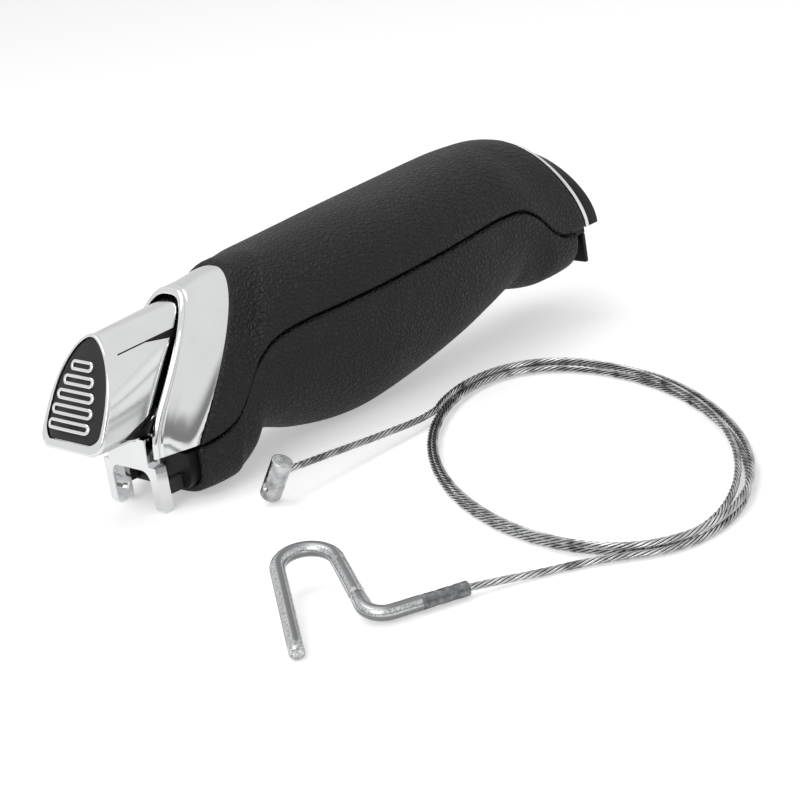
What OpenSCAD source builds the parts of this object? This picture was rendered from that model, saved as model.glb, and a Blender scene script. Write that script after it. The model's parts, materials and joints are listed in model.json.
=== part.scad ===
// Hand grip of a parking brake lever, with its rocking release button and its loose release cable.
// Sizes are in millimetres. The shapes are drawn from the fork's front face (x), the mid-plane (y) and
// the surface that the grip lies on (z). in_frame() then puts the origin at the mouth of the lever socket.

/* [Grip] */
// Length of the leather along its lower edge
grip_length = 123.5; // [112:0.5:150]
// Height of the leather at its highest point
grip_height = 48; // [46:0.5:54]
// Greatest width of the leather
grip_width = 33.5; // [32:0.5:40]
// Thickness of the leather
leather_t = 1.2; // [0.8:0.1:1.6]
// Wall of the moulded shells under the leather
shell_t = 1.8; // [1.2:0.1:2.4]
// Width of the groove between the upper and the lower leather
seam_gap = 0.5; // [0.3:0.1:1]
// Distance of the leather's front edge behind the fork
leather_front_x = 7.5; // [7:0.5:9]
// Slant of the leather's front edge, its foot forward
front_slant = 35; // [28:1:38]
// Slant of the leather's rear edge, its foot rearward
rear_slant = 32; // [26:1:34]
// Height over which the slant of the rear edge sets in
rear_round = 10; // [7:1:12]
// Distance by which the lower leather ends before the upper
belly_short = 3.2; // [2.4:0.2:4]

/* [Bezel and rear trim] */
// Wall of the chrome bezel
bezel_t = 1; // [0.8:0.1:1.4]
// Length of the bezel hidden under the leather
bezel_tuck = 3; // [2:0.5:5]
// Gap between the top of the button and the lip of the bezel
lip_gap = 2; // [1.6:0.1:3]
// Gap between the side of the button and the lip of the bezel
lip_side_gap = 0.9; // [0.8:0.1:1.5]
// Height of the bezel's lower edge
bezel_foot_z = 12; // [11.8:0.1:12.4]
// Thickness of the chrome ring at the rear
ring_t = 1.2; // [1:0.1:2]
// Length of the black collar behind the ring
collar_length = 3.4; // [2:0.1:4.4]
// Depth of the ring and the collar, inward from the leather
trim_depth = 3.2; // [2.6:0.1:3.6]

/* [Button] */
// Slant of the button's face, its foot forward
face_slant = 28; // [24:1:32]
// Length of the face from its foot to its tip
face_length = 24.6; // [23:0.1:26]
// Half of the face's greatest width
face_half_w = 10.2; // [9:0.1:11]
// Width of the chrome frame round the black pad
frame_w = 1.2; // [0.8:0.1:1.5]
// Height of the frame's chin below the black pad
chin_h = 2; // [1.4:0.1:2.4]
// Rise of the crowned face over its edges
face_crown = 2; // [1.2:0.1:2.6]
// Half of the button's width where it enters the bezel, at its foot
button_half_w = 6.8; // [6.5:0.1:7.2]
// Length of the button's flat top
button_top_length = 21; // [19:0.5:22]
// Wall of the button
button_wall = 3; // [2.4:0.1:3.4]
// Number of ribs on the face
rib_count = 5; // [3:1:5]
// Height of the ribs over the pad
rib_rise = 0.6; // [0.3:0.1:1]

/* [Fork and pivot] */
// Gap between the two arms that carry the pivot pin, as a share of the grip's width
arm_gap_share = 0.24; // [0.23:0.005:0.245]
// Thickness of an arm across the grip
arm_t = 2.6; // [2:0.1:2.8]
// Gap between the two prongs
prong_gap = 12.6; // [11.6:0.1:13]
// Thickness of a prong across the grip
prong_t = 2.4; // [2:0.1:2.8]
// Depth of a prong along the grip
prong_depth = 2.8; // [2.4:0.1:3.2]
// Diameter of the pivot pin
pin_d = 3; // [2.5:0.1:3.4]
// Height of the pivot pin
pivot_z = 15.6; // [15.4:0.1:16]
// Distance of the pivot pin behind the fork's front face
pivot_x = 6; // [5.6:0.1:6.4]
// Wire of the return spring
spring_wire_d = 0.8; // [0.6:0.1:0.9]

/* [Lever socket] */
// Diameter of the lever's tube
lever_d = 16; // [14:0.5:17]
// Depth of the socket
socket_depth = 78; // [60:1:80]
// Wall of the steel sleeve
sleeve_t = 1; // [0.6:0.1:1.4]
// Wall of the carrier round the sleeve
socket_wall = 2; // [1.5:0.1:2.2]

/* [Cable] */
// Diameter of the wire rope
cable_d = 1.5; // [1.2:0.1:2]
// Diameter of the barrel nipple
nipple_d = 4.5; // [4:0.1:5]
// Length of the barrel nipple
nipple_length = 9.8; // [9:0.1:10]
// Wire of the hook
hook_wire_d = 3; // [2.5:0.1:3.5]
// Inner radius of the hook's arch
hook_inner_r = 4.1; // [3:0.1:5]
// Length of the hook's free leg
hook_leg = 26.5; // [16:0.5:30]
// Length of the crimped ferrule
ferrule_length = 9.4; // [6:0.1:14]
// Diameter of the crimped ferrule
ferrule_d = 2.9; // [2.4:0.1:3.6]

/* [Fits] */
// Gap between the leather, the shells and the trim
skin_gap = 0.3; // [0.3:0.05:0.5]
// Gap between pieces that move past each other
running_gap = 0.35; // [0.3:0.05:0.5]
// Clearance of the pin in the fork, on the radius
pin_clear = 0.05; // [0.02:0.01:0.1]
// Gap between pieces that are seated on each other
seat_gap = 0.2; // [0.1:0.05:0.3]

/* [Hidden] */
$fn = 64;
overcut = 1;

// Layers of the grip, as depths under the leather
shell_depth = leather_t + skin_gap;
inner_depth = shell_depth + shell_t;

// Side curves of the grip: each point is a share of grip_length and a share of grip_height
top_curve = [
    [0.1, 0.912], [0.17, 0.924], [0.31, 0.938], [0.51, 0.964], [0.67, 0.984], [0.8, 1],
    [0.85, 0.996], [0.9, 0.968], [0.95, 0.915], [1, 0.845], [1.06, 0.75],
];
seam_curve = [
    [0, 0.258], [0.05, 0.27], [0.09, 0.31], [0.12, 0.4], [0.15, 0.505], [0.19, 0.57], [0.25, 0.6],
    [0.4, 0.62], [0.6, 0.656], [0.73, 0.69], [0.785, 0.694], [0.825, 0.68], [0.86, 0.625],
    [0.9, 0.52], [0.93, 0.475], [1, 0.469], [1.06, 0.469],
];
bottom_curve = [
    [0, 0.026], [0.03, 0.021], [0.07, 0.021], [0.1, 0.029], [0.135, 0.075], [0.16, 0.148], [0.19, 0.138],
    [0.26, 0.071], [0.34, 0.023], [0.415, 0.006], [0.48, 0.017], [0.59, 0.066], [0.69, 0.13], [0.76, 0.193],
    [0.8, 0.234], [0.828, 0.26], [0.855, 0.235], [0.89, 0.217], [0.92, 0.223], [0.96, 0.236], [1, 0.256],
    [1.06, 0.27],
];
// Width curve: a share of grip_length and a share of half the greatest width
width_curve = [[0, 0.835], [0.19, 0.872], [0.43, 0.985], [0.67, 1], [0.83, 0.98], [1, 0.925], [1.06, 0.915]];
// Squareness of the belly: a share of grip_length and the exponent of the outline
belly_curve = [[0, 4], [0.1, 4], [0.2, 2.9], [0.32, 2.2], [0.8, 2.2], [1, 2.5], [1.06, 2.5]];
back_exponent = 2.3;

// Places along the grip
rear_cut = 1;
leather_rear_x = leather_front_x + grip_length - rear_cut;
belly_rear_x = leather_rear_x - belly_short;
shell_front_x = leather_front_x + bezel_tuck + 0.4;
shell_set_back = 0.5;
ring_front_x = leather_rear_x + 0.1;
ring_rear_x = ring_front_x + ring_t;
collar_front_x = ring_rear_x + 0.1;
collar_rear_x = collar_front_x + collar_length;
skin_rows = 30;
skin_steps = 18;

// Heights at which the slanted edges of the leather begin to lean
lean_front_z = bezel_foot_z - 0.5;
lean_rear_z = curve(seam_curve, 1) * grip_height;

// Lever socket
sleeve_r = lever_d / 2 + sleeve_t;
socket_r = sleeve_r + socket_wall;
notch_share = 0.828;
notch_z = curve(bottom_curve, notch_share) * grip_height;
notch_clear = 0.83;
socket_z = notch_z + inner_depth + socket_r + notch_clear;
mouth_x = leather_rear_x + 3;
socket_front_x = mouth_x - socket_depth;
socket_end_wall = 4;
socket_rear_x = leather_rear_x - 1;

// Button: the foot and the tip of its face, and its flat top
face_foot_z = bezel_foot_z + 5.5;
button_top_z = face_foot_z + face_length * cos(face_slant) + 1;
face_foot_x = -14.3;
button_rear_top_x = face_foot_x + face_length * sin(face_slant) + button_top_length;
button_foot_z = face_foot_z - 1;
button_rear_foot_x = 1.3;
button_steps = 16;
button_rows = 4;
cavity_half_w = 3.9;

// Lip of the bezel, parallel to the rear of the button
lip_top_z = button_top_z + lip_gap;
lip_half_w = button_half_w + lip_side_gap + bezel_t;
lip_lean = (button_rear_top_x - button_rear_foot_x) / (button_top_z - button_foot_z);
lip_top_x = button_rear_top_x - 0.6;
lip_exponent = 3.2;
lip_bend = 0.036;
lip_bend_z = button_foot_z + 5.5;
bezel_rows = 6;
bezel_swell = 0.22;

// Fork and its bearings
prong_x = -1.1;
prong_rear_x = prong_x + prong_depth;
prong_in = prong_gap / 2;
prong_out = prong_in + prong_t;
flange_in = nipple_length / 2 - 0.7;
flange_t = 1.2;
apron_top_z = button_foot_z - 0.3;
apron_foot_z = bezel_foot_z - 2.8;
shoulder_z = bezel_foot_z - 1.8;
crotch_r = 2.4;
arm_in = grip_width * arm_gap_share / 2;
arm_out = arm_in + arm_t;
boss_r = pin_d / 2 + 2.1;
ear_in = arm_out + running_gap;
ear_t = 1.2;
ear_out = ear_in + ear_t;
ear_r = pin_d / 2 + 1.5;
ear_reach = 18;
retainer_t = 0.6;
stop_foot_z = 3.4;
stop_h = 3.2;
web_z = pivot_z + boss_r - 0.5;
web_t = 2.4;
nipple_seat_z = 4.6;

// Front stub of the carrier
stub_front_x = leather_front_x - 2;
stub_rear_x = shell_front_x - 0.5;
stub_half_w = curve(width_curve, 0) * grip_width / 2 - leather_t - 1.2;
stub_foot_z = curve(bottom_curve, 0.03) * grip_height + leather_t + 0.8;
stub_top_z = bezel_foot_z - 0.6;
stub_corner_r = 4;
beam_half_w = ear_in + 0.05;
bush_z = 7;
bush_r = 2.5;
bush_length = 8;
bush_flange_r = 3;
bush_flange_t = 0.9;
bush_bore_r = cable_d / 2 + 0.45;

// Retaining clip under the socket
clip_t = 1;
clip_half_w = 5.2;
clip_z = socket_z - socket_r - 0.3 - clip_t;
clip_side_h = 1.9;
clip_front_x = mouth_x - 15;
clip_tab_half_w = 11.4;
clip_tab_drop = 2.5;
clip_ear_w = 2.8;
clip_ear_h = 4.6;

// Route of the loose cable: the lead from the nipple to the coil and the tail from the coil to the ferrule
nipple_foot = [13, -26, 1.15];
nipple_lean = [30, 18];
lead_route = [
    [16, -29, 6.6], [25, -28.4, 5.6], [33, -28, 4.7], [41, -27.6, 3.8], [49, -27.4, 3.1], [56, -27.2, 2.6],
    [63, -27, 2.2],
];
tail_route = [
    [-1.9, -96.6, 1.9], [3.7, -99.2, 1.4], [10, -102.9, 1], [16, -107, 1], [22, -111.5, 1], [27, -116, 1],
];
coil_centre = [59.5, -70.5];
coil_long_r = 55;
coil_short_r = 29;
coil_turn = 56;
coil_half_w = 3;
coil_height = 3.2;
tube_sides = 8;
tube_rings_per_step = 2;

// Hook, drawn flat from its foot and then tilted on the line of its shank
hook_foot = [-35.2, -87, hook_wire_d / 2];
hook_turn = -19;
hook_tilt = 12;
hook_lean = 72.7;
hook_arch_turn = 172;
hook_return = 16;
hook_bend_r = 3.8;
hook_shank = 5.5;

// Looks up a smooth curve through the points of a list at the share u
function curve(points, u) = curve_piece(points, u, curve_index(points, u));
function curve_index(points, u, i = 0) =
    (i >= len(points) - 2 || u < points[i + 1][0]) ? i : curve_index(points, u, i + 1);
function curve_slope(points, i) =
    let (a = max(i - 1, 0), b = min(i + 1, len(points) - 1))
    (points[b][1] - points[a][1]) / (points[b][0] - points[a][0]);
function curve_piece(points, u, i) =
    let (
        step = points[i + 1][0] - points[i][0],
        t = (u - points[i][0]) / step,
        rise = points[i + 1][1] - points[i][1],
        m0 = curve_slope(points, i) * step,
        m1 = curve_slope(points, i + 1) * step
    )
    points[i][1] + t * (m0 + t * (3 * rise - 2 * m0 - m1 + t * (m0 + m1 - 2 * rise)));

function share(x) = (x - leather_front_x) / grip_length;
function top_z(x) = curve(top_curve, share(x)) * grip_height;
function seam_z(x) = curve(seam_curve, share(x)) * grip_height;
function bottom_z(x) = curve(bottom_curve, share(x)) * grip_height;
function half_w(x) = curve(width_curve, share(x)) * grip_width / 2;
function belly_exponent(x) = curve(belly_curve, share(x));

// A section of the grip starts at x and leans above a set height
function lean(x) = tan(front_slant) * (1 - share(x)) - tan(rear_slant) * share(x);
function lean_z(x) = lean_front_z * (1 - share(x)) + lean_rear_z * share(x);
function lean_rise(x, u) = u > 0 ? u * u / (u + rear_round * max(0, share(x))) : 0;
function leaned_x(x, z) = x + lean(x) * lean_rise(x, z - lean_z(x));
function section_top(x, z = 40, i = 20) = i == 0 ? z : section_top(x, top_z(leaned_x(x, z)), i - 1);
function section_seam(x, z = 25, i = 20) = i == 0 ? z : section_seam(x, seam_z(leaned_x(x, z)), i - 1);
function signed_power(v, e) = sign(v) * pow(abs(v), e);

// One row of points over the back of the grip, at a depth under the leather's surface
function back_row(x, depth) =
    let (
        foot = section_seam(x) + seam_gap / 2,
        rise = section_top(x) - depth - foot,
        w = half_w(x) - depth
    )
    [for (i = [0 : skin_steps])
        let (
            a = 180 * i / skin_steps,
            y = -w * signed_power(cos(a), 2 / back_exponent),
            z = foot + rise * pow(sin(a), 2 / back_exponent)
        )
        [leaned_x(x, z), y, z]];

// One row of points round the belly of the grip, at a depth under the leather's surface
function belly_row(x, depth) =
    let (
        head = section_seam(x) - seam_gap / 2,
        drop = head - bottom_z(x) - depth,
        w = half_w(x) - depth,
        e = 2 / belly_exponent(x)
    )
    [for (i = [0 : skin_steps])
        let (
            a = 180 * i / skin_steps,
            y = w * signed_power(cos(a), e),
            z = head - drop * pow(sin(a), e)
        )
        [leaned_x(x, z), y, z]];

function row_places(x0, x1) =
    concat(
        [x0],
        [for (r = [1 : skin_rows - 1])
            let (x = leather_front_x + grip_length * r / skin_rows)
            if (x > x0 + 0.5 && x < x1 - 0.5) x],
        [x1]
    );
function mix(a, b, t) = a + (b - a) * t;
function reversed(v) = [for (i = [len(v) - 1 : -1 : 0]) v[i]];

// A closed skin between two stacks of rows, the first on the outside
module skin(outer, inner) {
    n = len(outer[0]);
    m = 2 * n;
    last = (len(outer) - 1) * m;
    points = [for (r = [0 : len(outer) - 1]) each concat(outer[r], reversed(inner[r]))];
    sides = [for (r = [0 : len(outer) - 2], i = [0 : m - 1])
        let (a = r * m + i, b = r * m + (i + 1) % m)
        each [[a, b, b + m], [a, b + m, a + m]]];
    front = [for (i = [0 : n - 2]) each [[i, m - 1 - i, m - 2 - i], [i, m - 2 - i, i + 1]]];
    rear = [for (f = front) [last + f[2], last + f[1], last + f[0]]];
    polyhedron(points, concat(sides, front, rear), convexity = 6);
}

// The back or the belly of the grip between two places and two depths
module back_skin(x0, x1, depth0, depth1) {
    places = row_places(x0, x1);
    skin([for (x = places) back_row(x, depth0)], [for (x = places) back_row(x, depth1)]);
}

module belly_skin(x0, x1, depth0, depth1) {
    places = row_places(x0, x1);
    skin([for (x = places) belly_row(x, depth0)], [for (x = places) belly_row(x, depth1)]);
}

// Puts the origin at the middle of the socket's mouth
module in_frame() {
    translate([-mouth_x, 0, -socket_z]) children();
}

// A cylinder along the grip
module bar_x(x0, x1, r, y = 0, z = 0) {
    translate([x0, y, z]) rotate([0, 90, 0]) cylinder(h = x1 - x0, r = r);
}

// A cylinder across the grip
module bar_y(y0, y1, r, x = 0, z = 0) {
    translate([x, y0, z]) rotate([-90, 0, 0]) cylinder(h = y1 - y0, r = r);
}

// An outline in the side view, given a width across the grip
module plate(y0, y1) {
    translate([0, y1, 0]) rotate([90, 0, 0]) linear_extrude(y1 - y0) children();
}

// Copies a piece to both sides of the mid-plane
module both_sides() {
    children();
    mirror([0, 1, 0]) children();
}

// Core carrier: front stub, beam, pin ears and the tube of the lever socket
function beam_floor(x) = bottom_z(x) + inner_depth + 3.4;

module beam_outline() {
    floor_points = [for (x = [stub_rear_x - 1, 20, 24, 27, 31, 36, 44, socket_front_x + 2])
        [x, x < 20 ? max(beam_floor(20), stub_foot_z) : max(beam_floor(x), beam_floor(20))]];
    roof_points = [
        [socket_front_x + 2, socket_z + socket_r - 2],
        [button_rear_top_x + 16, socket_z + socket_r - 2],
        [button_rear_top_x + 7.5, button_top_z - 6],
        [pivot_x + boss_r + 3, stub_top_z],
        [stub_rear_x - 1, stub_top_z],
    ];
    polygon(concat(floor_points, roof_points));
}

module stub_outline() {
    r = stub_corner_r;
    translate([-stub_half_w, stub_foot_z + r]) square([2 * stub_half_w, stub_top_z - stub_foot_z - r]);
    translate([-stub_half_w + r, stub_foot_z]) square([2 * (stub_half_w - r), r + 0.5]);
    for (side = [-1, 1]) translate([side * (stub_half_w - r), stub_foot_z + r]) circle(r);
}

module pin_ear() {
    plate(ear_in, ear_out) {
        translate([pivot_x, pivot_z]) circle(ear_r);
        translate([pivot_x, pivot_z - ear_r]) square([ear_reach, 2 * ear_r]);
    }
}

socket_rib_x = 6;
module socket_rib(x) {
    bar_x(x, x + 2, half_w(x) - inner_depth - 0.7, 0, socket_z);
}

module core_carrier() color("#1c1c1e") in_frame() difference() {
    union() {
        translate([stub_rear_x, 0, 0]) rotate([90, 0, -90]) linear_extrude(stub_rear_x - stub_front_x)
            stub_outline();
        plate(-beam_half_w, beam_half_w) beam_outline();
        both_sides() pin_ear();
        bar_x(socket_front_x - socket_end_wall, socket_rear_x, socket_r, 0, socket_z);
        socket_rib(socket_front_x + socket_rib_x);
        socket_rib(socket_front_x + socket_depth * 0.55);
    }
    bar_x(socket_front_x, mouth_x + overcut, sleeve_r, 0, socket_z);
    bar_y(-ear_out - overcut, ear_out + overcut, pin_d / 2, pivot_x, pivot_z);
    bar_x(stub_front_x - overcut, stub_front_x + bush_length, bush_r, 0, bush_z);
    cable_run = [socket_front_x - stub_front_x - bush_length + 3, socket_z - bush_z - 4];
    translate([stub_front_x + bush_length - 1.5, 0, bush_z])
        rotate([0, 90 - atan2(cable_run[1], cable_run[0]), 0])
        cylinder(h = norm(cable_run), r = bush_r - 0.5);
}

// Steel liner of the lever socket
module lever_sleeve() color("#8d9094") in_frame() difference() {
    bar_x(socket_front_x, mouth_x, sleeve_r, 0, socket_z);
    bar_x(socket_front_x - overcut, mouth_x + overcut, lever_d / 2, 0, socket_z);
}

// Moulded shells and the leather over them
module upper_shell() color("#2a2a2c") in_frame()
    back_skin(shell_front_x, leather_rear_x - shell_set_back, shell_depth, inner_depth);

module lower_shell() color("#2a2a2c") in_frame()
    belly_skin(shell_front_x, belly_rear_x - shell_set_back, shell_depth, inner_depth);

module upper_leather() color("#1f1f20") in_frame()
    back_skin(leather_front_x, leather_rear_x, 0, leather_t);

module lower_leather() color("#1f1f20") in_frame()
    belly_skin(leather_front_x, belly_rear_x, 0, leather_t);

// Chrome bezel: from the lip round the button to a tail under the leather
function lip_x(z) =
    lip_top_x - lip_lean * (lip_top_z - z) + lip_bend * pow(max(0, lip_bend_z - z), 2);

function lip_row(depth) =
    [for (i = [0 : skin_steps])
        let (
            a = 180 * i / skin_steps,
            y = -(lip_half_w - depth) * signed_power(cos(a), 2 / lip_exponent),
            z = bezel_foot_z + (lip_top_z - depth - bezel_foot_z) * pow(sin(a), 2 / lip_exponent)
        )
        [lip_x(z), y, z]];

function bezel_row(t, depth) =
    let (
        lip = lip_row(depth),
        tail = back_row(leather_front_x + bezel_tuck, shell_depth + depth),
        swell = bezel_swell * sin(180 * t)
    )
    [for (i = [0 : skin_steps])
        let (p = mix(lip[i], tail[i], t))
        [p[0], p[1] + (tail[i][1] - lip[i][1]) * swell, p[2] + (tail[i][2] - lip[i][2]) * swell]];

module front_bezel() color("#d9dbde") in_frame() {
    shares = [for (r = [0 : bezel_rows]) r / bezel_rows];
    skin([for (t = shares) bezel_row(t, 0)], [for (t = shares) bezel_row(t, bezel_t)]);
}

// Chrome arch and black collar at the rear, both clear of the tube of the lever socket
trim_clear = 0.5;
module socket_room() {
    bar_x(socket_front_x, collar_rear_x + overcut, socket_r + trim_clear, 0, socket_z);
}

module rear_ring() color("#e6e7e9") in_frame() difference() {
    back_skin(ring_front_x, ring_rear_x, 0, trim_depth);
    socket_room();
}

module rear_collar() color("#19191a") in_frame() difference() {
    back_skin(collar_front_x, collar_rear_x, skin_gap, skin_gap + trim_depth);
    socket_room();
}

// Moulded channel under the socket, with a cross plate that hangs behind the belly
module retaining_clip() color("#1d1d1f") in_frame() {
    rear_x = mouth_x + 0.6;
    translate([clip_front_x, -clip_half_w, clip_z]) cube([rear_x - clip_front_x, 2 * clip_half_w, clip_t]);
    both_sides()
        translate([clip_front_x, clip_half_w - clip_t, clip_z])
            cube([rear_x - clip_front_x, clip_t, clip_side_h]);
    translate([rear_x - clip_t, -clip_tab_half_w, clip_z - clip_tab_drop])
        cube([clip_t, 2 * clip_tab_half_w, clip_tab_drop + clip_side_h]);
    both_sides()
        translate([rear_x - clip_t, clip_tab_half_w - clip_ear_w, clip_z])
            cube([clip_t, clip_ear_w, clip_ear_h]);
}

// Pivot pin with a push-on retainer at each end
module pivot_pin() color("#a9acb0") in_frame()
    bar_y(-ear_out - retainer_t - 0.3, ear_out + retainer_t + 0.3, pin_d / 2, pivot_x, pivot_z);

module pin_retainers() color("#6d6f73") in_frame() both_sides() difference() {
    bar_y(ear_out, ear_out + retainer_t, ear_r - 0.3, pivot_x, pivot_z);
    bar_y(ear_out - overcut, ear_out + retainer_t + overcut, pin_d / 2, pivot_x, pivot_z);
}

// Torsion spring round the pin: its closed coil and its two legs
module return_spring() color("#9a9da1") in_frame() {
    inner_r = pin_d / 2 + pin_clear;
    outer_r = inner_r + spring_wire_d;
    half_l = arm_in - running_gap;
    leg_r = spring_wire_d / 2;
    leg_y = half_l - leg_r;
    difference() {
        bar_y(-half_l, half_l, outer_r, pivot_x, pivot_z);
        bar_y(-half_l - overcut, half_l + overcut, inner_r, pivot_x, pivot_z);
    }
    translate([pivot_x, -leg_y, pivot_z - inner_r - leg_r]) rotate([0, 90, 0])
        cylinder(h = pin_d + 3, r = leg_r);
    translate([pivot_x + inner_r + leg_r, leg_y, pivot_z]) cylinder(h = web_z - pivot_z - 0.6, r = leg_r);
}

// Rubber pads on the stub, where the prongs come to rest
module rest_stop_pads() color("#111111") in_frame() both_sides()
    translate([prong_rear_x + running_gap, prong_in + 0.2, stop_foot_z])
        cube([stub_front_x - prong_rear_x - running_gap, prong_t - 0.4, stop_h]);

// Flanged bush that guides the cable through the stub
module cable_guide_bush() color("#d8d6cf") in_frame() difference() {
    union() {
        bar_x(stub_front_x - bush_flange_t, stub_front_x, bush_flange_r, 0, bush_z);
        bar_x(stub_front_x - bush_flange_t, stub_front_x + bush_length - 2, bush_r, 0, bush_z);
    }
    bar_x(stub_front_x - bush_flange_t - overcut, stub_front_x + bush_length, bush_bore_r, 0, bush_z);
}

// Half width of the leaf-shaped face at the height v over its foot
function leaf_half_w(v, half_width, length, shoulder = 4) =
    v > shoulder
        ? half_width * pow(max(0, 1 - pow((v - shoulder) / (length - shoulder), 2.2)), 0.6)
        : half_width * pow(1 - pow((shoulder - v) / (shoulder + 0.6), 3), 1 / 3);

// Chrome button: a loft from the leaf-shaped face to its square rear inside the bezel
function button_level(i) = (1 - cos(180 * i / button_steps)) / 2;
function button_front_w(f) = max(0.3, leaf_half_w(f * face_length, face_half_w, face_length));
function button_rear_w(f) =
    max(0.3, (button_half_w - 1.4 * f) * pow(max(0, 1 - pow(f, 9)), 0.34) * (f < 0.05 ? 0.86 + 2.8 * f : 1));

function button_point(t, f, side) =
    let (
        front = [
            face_foot_x + f * face_length * sin(face_slant),
            side * button_front_w(f),
            face_foot_z + f * face_length * cos(face_slant)
        ],
        rear = [
            mix(button_rear_foot_x, button_rear_top_x, f),
            side * button_rear_w(f),
            mix(button_foot_z, button_top_z, f)
        ]
    )
    mix(front, rear, t);
function button_row(t, side) = [for (i = [0 : button_steps]) button_point(t, button_level(i), side)];

// Recesses on the near side of the button: a groove that opens into a wedge, and a hollow at the lower rear.
// Each row is a share of the way back, then the lower and the upper share of the height
recess_depth = 0.6;
groove_rows = [[0.12, 0.808, 0.82], [0.5, 0.808, 0.82], [0.75, 0.769, 0.82], [1.05, 0.722, 0.82]];
hollow_rows = [
    [0.42, 0.075, 0.08], [0.55, 0.045, 0.13], [0.7, 0.02, 0.16], [0.85, 0.012, 0.22], [1.05, 0.012, 0.33],
];
function recess_row(row, out) = [for (f = [row[1], row[2]]) button_point(row[0], f, -1) - [0, out, 0]];
module button_recess(rows) {
    skin([for (row = rows) recess_row(row, overcut)], [for (row = rows) recess_row(row, -recess_depth)]);
}

// Room in the button for the tongue of the fork, in the side view
function cavity_front_x(z) = face_foot_x + (z - face_foot_z) * tan(face_slant) + button_wall * 1.5;
module cavity_outline(inset) {
    roof_z = button_top_z - button_wall - inset;
    foot_z = button_foot_z - overcut;
    polygon([
        [cavity_front_x(foot_z) + inset, foot_z],
        [cavity_front_x(roof_z - 2) + inset, roof_z - 2],
        [cavity_front_x(roof_z) + 2 + inset, roof_z],
        [button_rear_top_x + overcut, roof_z],
        [button_rear_top_x + overcut, foot_z],
    ]);
}

screw_z = 28;
screw_r = 1.1;
screw_head_r = 2.2;
screw_tip_x = face_foot_x + (screw_z - face_foot_z) * tan(face_slant) + 1.8;
tongue_rear_x = button_rear_foot_x + (screw_z - button_foot_z) * lip_lean - 1.5;

module release_button() color("#dcdee1") in_frame() difference() {
    skin(
        [for (r = [0 : button_rows]) button_row(r / button_rows, -1)],
        [for (r = [0 : button_rows]) button_row(r / button_rows, 1)]
    );
    both_sides() {
        button_recess(groove_rows);
        button_recess(hollow_rows);
    }
    plate(-cavity_half_w, cavity_half_w) cavity_outline(0);
    bar_x(screw_tip_x, tongue_rear_x, screw_r, 0, screw_z);
}

// Puts an outline on the face of the button: x across, y up the face, z outward
module on_face() {
    translate([face_foot_x, 0, face_foot_z]) rotate([0, face_slant, 0]) rotate([90, 0, -90]) children();
}

module leaf(inset, foot) {
    length = face_length - foot - 0.6 * inset;
    steps = 24;
    right = [for (i = [0 : steps])
        let (v = length * (1 - cos(180 * i / steps)) / 2)
        [leaf_half_w(v, face_half_w - inset, length), v + foot]];
    left = [for (i = [steps - 1 : -1 : 0]) [-right[i][0], right[i][1]]];
    polygon(concat(right, left));
}

// The crowned front of the face, raised by a height
crown_r = (face_half_w * face_half_w + face_crown * face_crown) / (2 * face_crown);
crown_tilt = 3.7;
pad_floor = 0.2;
frame_rise = 0.3;
face_edge_t = 0.5;
module crown(rise) {
    translate([0, -overcut, face_crown - crown_r]) rotate([-90 - crown_tilt, 0, 0])
        cylinder(h = face_length + 3 * overcut, r = crown_r + rise, $fn = 256);
    translate([-face_half_w - overcut, -overcut, -overcut])
        cube([2 * (face_half_w + overcut), face_length + 2 * overcut, overcut + face_edge_t + rise]);
}

module face_frame() color("#e3e4e6") in_frame() on_face() difference() {
    intersection() {
        linear_extrude(face_crown + 2) leaf(0, 0);
        crown(frame_rise);
    }
    translate([0, 0, pad_floor]) linear_extrude(face_crown + 3) leaf(frame_w, chin_h);
}

module face_inlay() color("#131314") in_frame() on_face() intersection() {
    translate([0, 0, pad_floor]) linear_extrude(face_crown + 2) leaf(frame_w + seat_gap, chin_h + seat_gap);
    crown(0);
}

low_rib_v = 5.2;
rib_pitch = (face_length - 4) / 6.6;
rib_h = rib_pitch * 0.78;
slot_h = rib_pitch * 0.32;
function rib_v(i) = low_rib_v + (rib_count - 1 - i) * rib_pitch;
function rib_room(i) = leaf_half_w(rib_v(i), face_half_w, face_length);
function rib_half_l(i) = rib_room(i) * (0.7 - 0.2 * pow(1 - i / (rib_count - 1), 2.2));
function rib_shift(i) = 0.1 * rib_room(i);

module stadium(half_l, h) {
    translate([-half_l + h / 2, -h / 2]) square([2 * half_l - h, h]);
    for (side = [-1, 1]) translate([side * (half_l - h / 2), 0]) circle(h / 2);
}

module rib_outline(i) {
    translate([-rib_shift(i), rib_v(i)]) difference() {
        stadium(rib_half_l(i), rib_h);
        stadium(rib_half_l(i) - (rib_h - slot_h) / 2, slot_h);
    }
}

module face_ribs() color("#d4d6d9") in_frame() on_face() difference() {
    intersection() {
        linear_extrude(face_crown + 2) for (i = [0 : rib_count - 1]) rib_outline(i);
        crown(rib_rise);
    }
    crown(0);
}

// Fork: an apron with two prongs that hold the nipple, the pivot arms and the tongue inside the button
function button_rear_x(z) = button_rear_foot_x + (z - button_foot_z) * lip_lean;

module prong_outline() {
    polygon([
        [prong_x + 0.6, 0], [prong_rear_x - 0.6, 0], [prong_rear_x, 0.8], [prong_rear_x, shoulder_z],
        [prong_x, shoulder_z], [prong_x, 0.8],
    ]);
}

module arm_outline() {
    web_top_z = web_z + web_t;
    polygon([
        [prong_x, shoulder_z - 1], [prong_rear_x, shoulder_z - 1], [pivot_x - 1, pivot_z - boss_r + 0.5],
        [pivot_x, pivot_z], [pivot_x + 2.4, web_top_z], [button_rear_x(web_top_z) + seat_gap, web_top_z],
        [button_rear_x(apron_top_z) + seat_gap, apron_top_z], [prong_x, apron_top_z],
    ]);
    translate([pivot_x, pivot_z]) circle(boss_r);
}

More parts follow.
